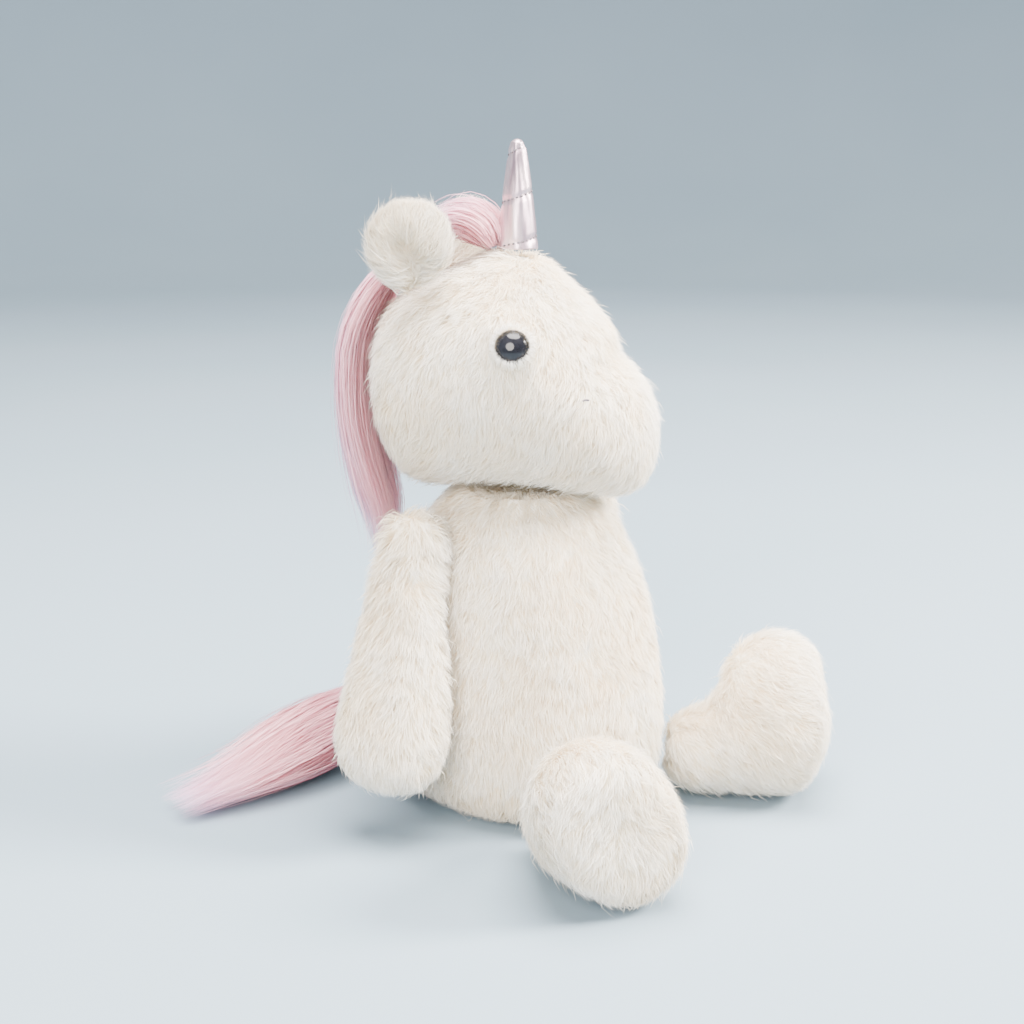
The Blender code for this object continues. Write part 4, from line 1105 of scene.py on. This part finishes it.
def horn_crease(angle, height):
    """How far the foil stands off its cone: long soft creases, and a pinch along each stitched line."""
    crease = 0.00028 * np.sin(3.0 * angle + 0.6 + 60.0 * height) * np.sin(2.0 * angle + 1.1)
    crease += 0.00012 * np.sin(7.0 * angle + 90.0 * height) * np.sin(150.0 * height + 2.0 * angle)
    for middle, first, last in STITCH_LINES:
        turns = (angle - STITCH_FRONT) / (2.0 * math.pi)
        turns = turns - np.round(turns)
        line = middle + STITCH_RISE * turns
        reach = np.clip((turns - first) / 0.03, 0.0, 1.0) * np.clip((last - turns) / 0.03, 0.0, 1.0)
        crease -= 0.00042 * np.exp(-(((height - line) / 0.0011) ** 2)) * np.where(first <= -0.5, 1.0, reach)
    return crease


def horn_point(angle, height, off=0.0):
    """A point on the foil."""
    fade = np.clip((HORN_HEIGHT - height) / 0.003, 0.0, 1.0)
    radius = horn_radius(height) + horn_crease(angle, height) * fade + off
    return np.array([HORN_AXIS[0] + radius * math.cos(angle), HORN_AXIS[1] + radius * math.sin(angle),
                     HORN_BASE + height])


def build_horn():
    """The creased foil cone, and its dark stitches in three slanted lines."""
    rows = 90
    sides = 96
    heights = HORN_HEIGHT * (1.0 - (1.0 - np.linspace(0.0, 1.0, rows)) ** 1.3)
    points = [horn_point(2.0 * math.pi * k / sides, height) for height in heights for k in range(sides)]
    mesh = mesh_from("horn_foil", points, ring_faces(rows, sides))
    new_object("horn_foil", mesh, "head", FOIL, ["horn_cover"])
    dashes = []
    for middle, first, last in STITCH_LINES:
        turns = first + 0.01
        while turns < last - 0.02:
            height = middle + STITCH_RISE * turns
            step = 0.0011 / (2.0 * math.pi * float(horn_radius(height)))
            spots = [horn_point(STITCH_FRONT + 2.0 * math.pi * (turns + step * k / 4.0),
                                middle + STITCH_RISE * (turns + step * k / 4.0), 0.00012) for k in range(5)]
            dashes.append(tube(spots, 0.00032))
            turns += step * 1.6
    mesh = mesh_from("horn_stitches", *join_shapes(dashes))
    new_object("horn_stitches", mesh, "head", THREAD,
               ["horn_thread_low", "horn_thread_middle", "horn_thread_top"])


def build_nostrils():
    """A short curved stitch on each side of the muzzle."""
    for side_name, _side in SIDES:
        points = coordinates(NODES[f"nostril_stitch_{side_name}"].data)
        groups = np.array_split(points[np.argsort(points @ HEAD_FRONT)], 5)
        path = spline([group.mean(axis=0) for group in groups], 20)[5:15]
        mesh = mesh_from(f"nostril_thread_{side_name}", *tube(path, 0.00035))
        new_object(f"nostril_thread_{side_name}", mesh, "head", THREAD,
                   [f"nostril_stitch_{side_name}"])


build_horn()
build_nostrils()


# ---- hidden and small parts
SLOTS = {entry["node"]: entry["material_slot"] for entry in frame["record"]["subparts"]}
for node_name, node in NODES.items():
    if not node.hide_render and SLOTS[node_name] in HIDDEN:
        node.data.materials.clear()
        node.data.materials.append(HIDDEN[SLOTS[node_name]])


# ---- studio
def area_light(name, place, aim, size, power, colour):
    """A soft round light."""
    data = bpy.data.lights.new(name, "AREA")
    data.shape = "DISK"
    data.size = size
    data.energy = power
    data.color = colour
    lamp = bpy.data.objects.new(name, data)
    lamp.location = place
    lamp.rotation_euler = (Vector(aim) - Vector(place)).to_track_quat("-Z", "Y").to_euler()
    bpy.context.scene.collection.objects.link(lamp)


def build_floor():
    """A plain pale floor that sweeps up into a plain pale surround."""
    profile = [(0.02, 0.0), (0.6, 0.0), (1.7, 0.0)]
    for k in range(1, 17):
        tilt = 0.5 * math.pi * k / 16
        profile.append((1.7 + 1.1 * math.sin(tilt), 1.1 * (1.0 - math.cos(tilt))))
    profile.append((2.8, 2.6))
    points, faces = lathe(profile, 96)
    mesh = mesh_from("floor", points, faces[:-1])
    nodes = Nodes("studio_floor")
    grain = nodes.noise(3.0, 2.0)
    colour = nodes.ramp(grain, (0.3, (0.21, 0.28, 0.34)), (0.7, (0.225, 0.295, 0.355)))
    nodes.set(Base_Color=colour, Roughness=0.85, Specular_IOR_Level=0.2)
    mesh.materials.append(nodes.material)
    floor = bpy.data.objects.new("floor", mesh)
    bpy.context.scene.collection.objects.link(floor)


# Degrees, metres and, for the lens, millimetres.
CAMERA_AZIMUTH = -50.0
CAMERA_PITCH = 14.0
CAMERA_DISTANCE = 0.6
CAMERA_ASIDE = -0.0029123
CAMERA_HEIGHT = 0.1004732
CAMERA_LENS = 57.94453


def build_camera():
    """The camera at the right front of the toy, a little above it."""
    azimuth = math.radians(CAMERA_AZIMUTH)
    pitch = math.radians(CAMERA_PITCH)
    flat = math.cos(pitch)
    away = Vector((math.sin(azimuth) * flat, -math.cos(azimuth) * flat, math.sin(pitch)))
    right = Vector((math.cos(azimuth), math.sin(azimuth), 0.0))
    up = away.cross(right)
    target = right * CAMERA_ASIDE + up * CAMERA_HEIGHT
    data = bpy.data.cameras.new("camera")
    data.sensor_width = 36.0
    data.lens = CAMERA_LENS
    camera = bpy.data.objects.new("camera", data)
    turn = Matrix((right, up, away)).transposed().to_4x4()
    camera.matrix_world = Matrix.Translation(target + away * CAMERA_DISTANCE) @ turn
    bpy.context.scene.collection.objects.link(camera)
    bpy.context.scene.camera = camera


build_floor()
build_camera()
area_light("key", (0.80, -1.00, 0.95), (0.0, 0.0, 0.12), 0.55, 135.0, (1.0, 0.945, 0.875))
area_light("fill", (-1.25, -0.55, 0.80), (0.0, 0.0, 0.10), 1.0, 62.0, (1.0, 0.945, 0.88))
area_light("top", (0.0, -0.10, 1.45), (0.0, 0.0, 0.10), 1.2, 135.0, (1.0, 0.96, 0.915))
world = bpy.data.worlds.new("world")
world.use_nodes = True
world.node_tree.nodes["Background"].inputs["Color"].default_value = (0.80, 0.86, 0.92, 1.0)
world.node_tree.nodes["Background"].inputs["Strength"].default_value = 0.75
bpy.context.scene.world = world
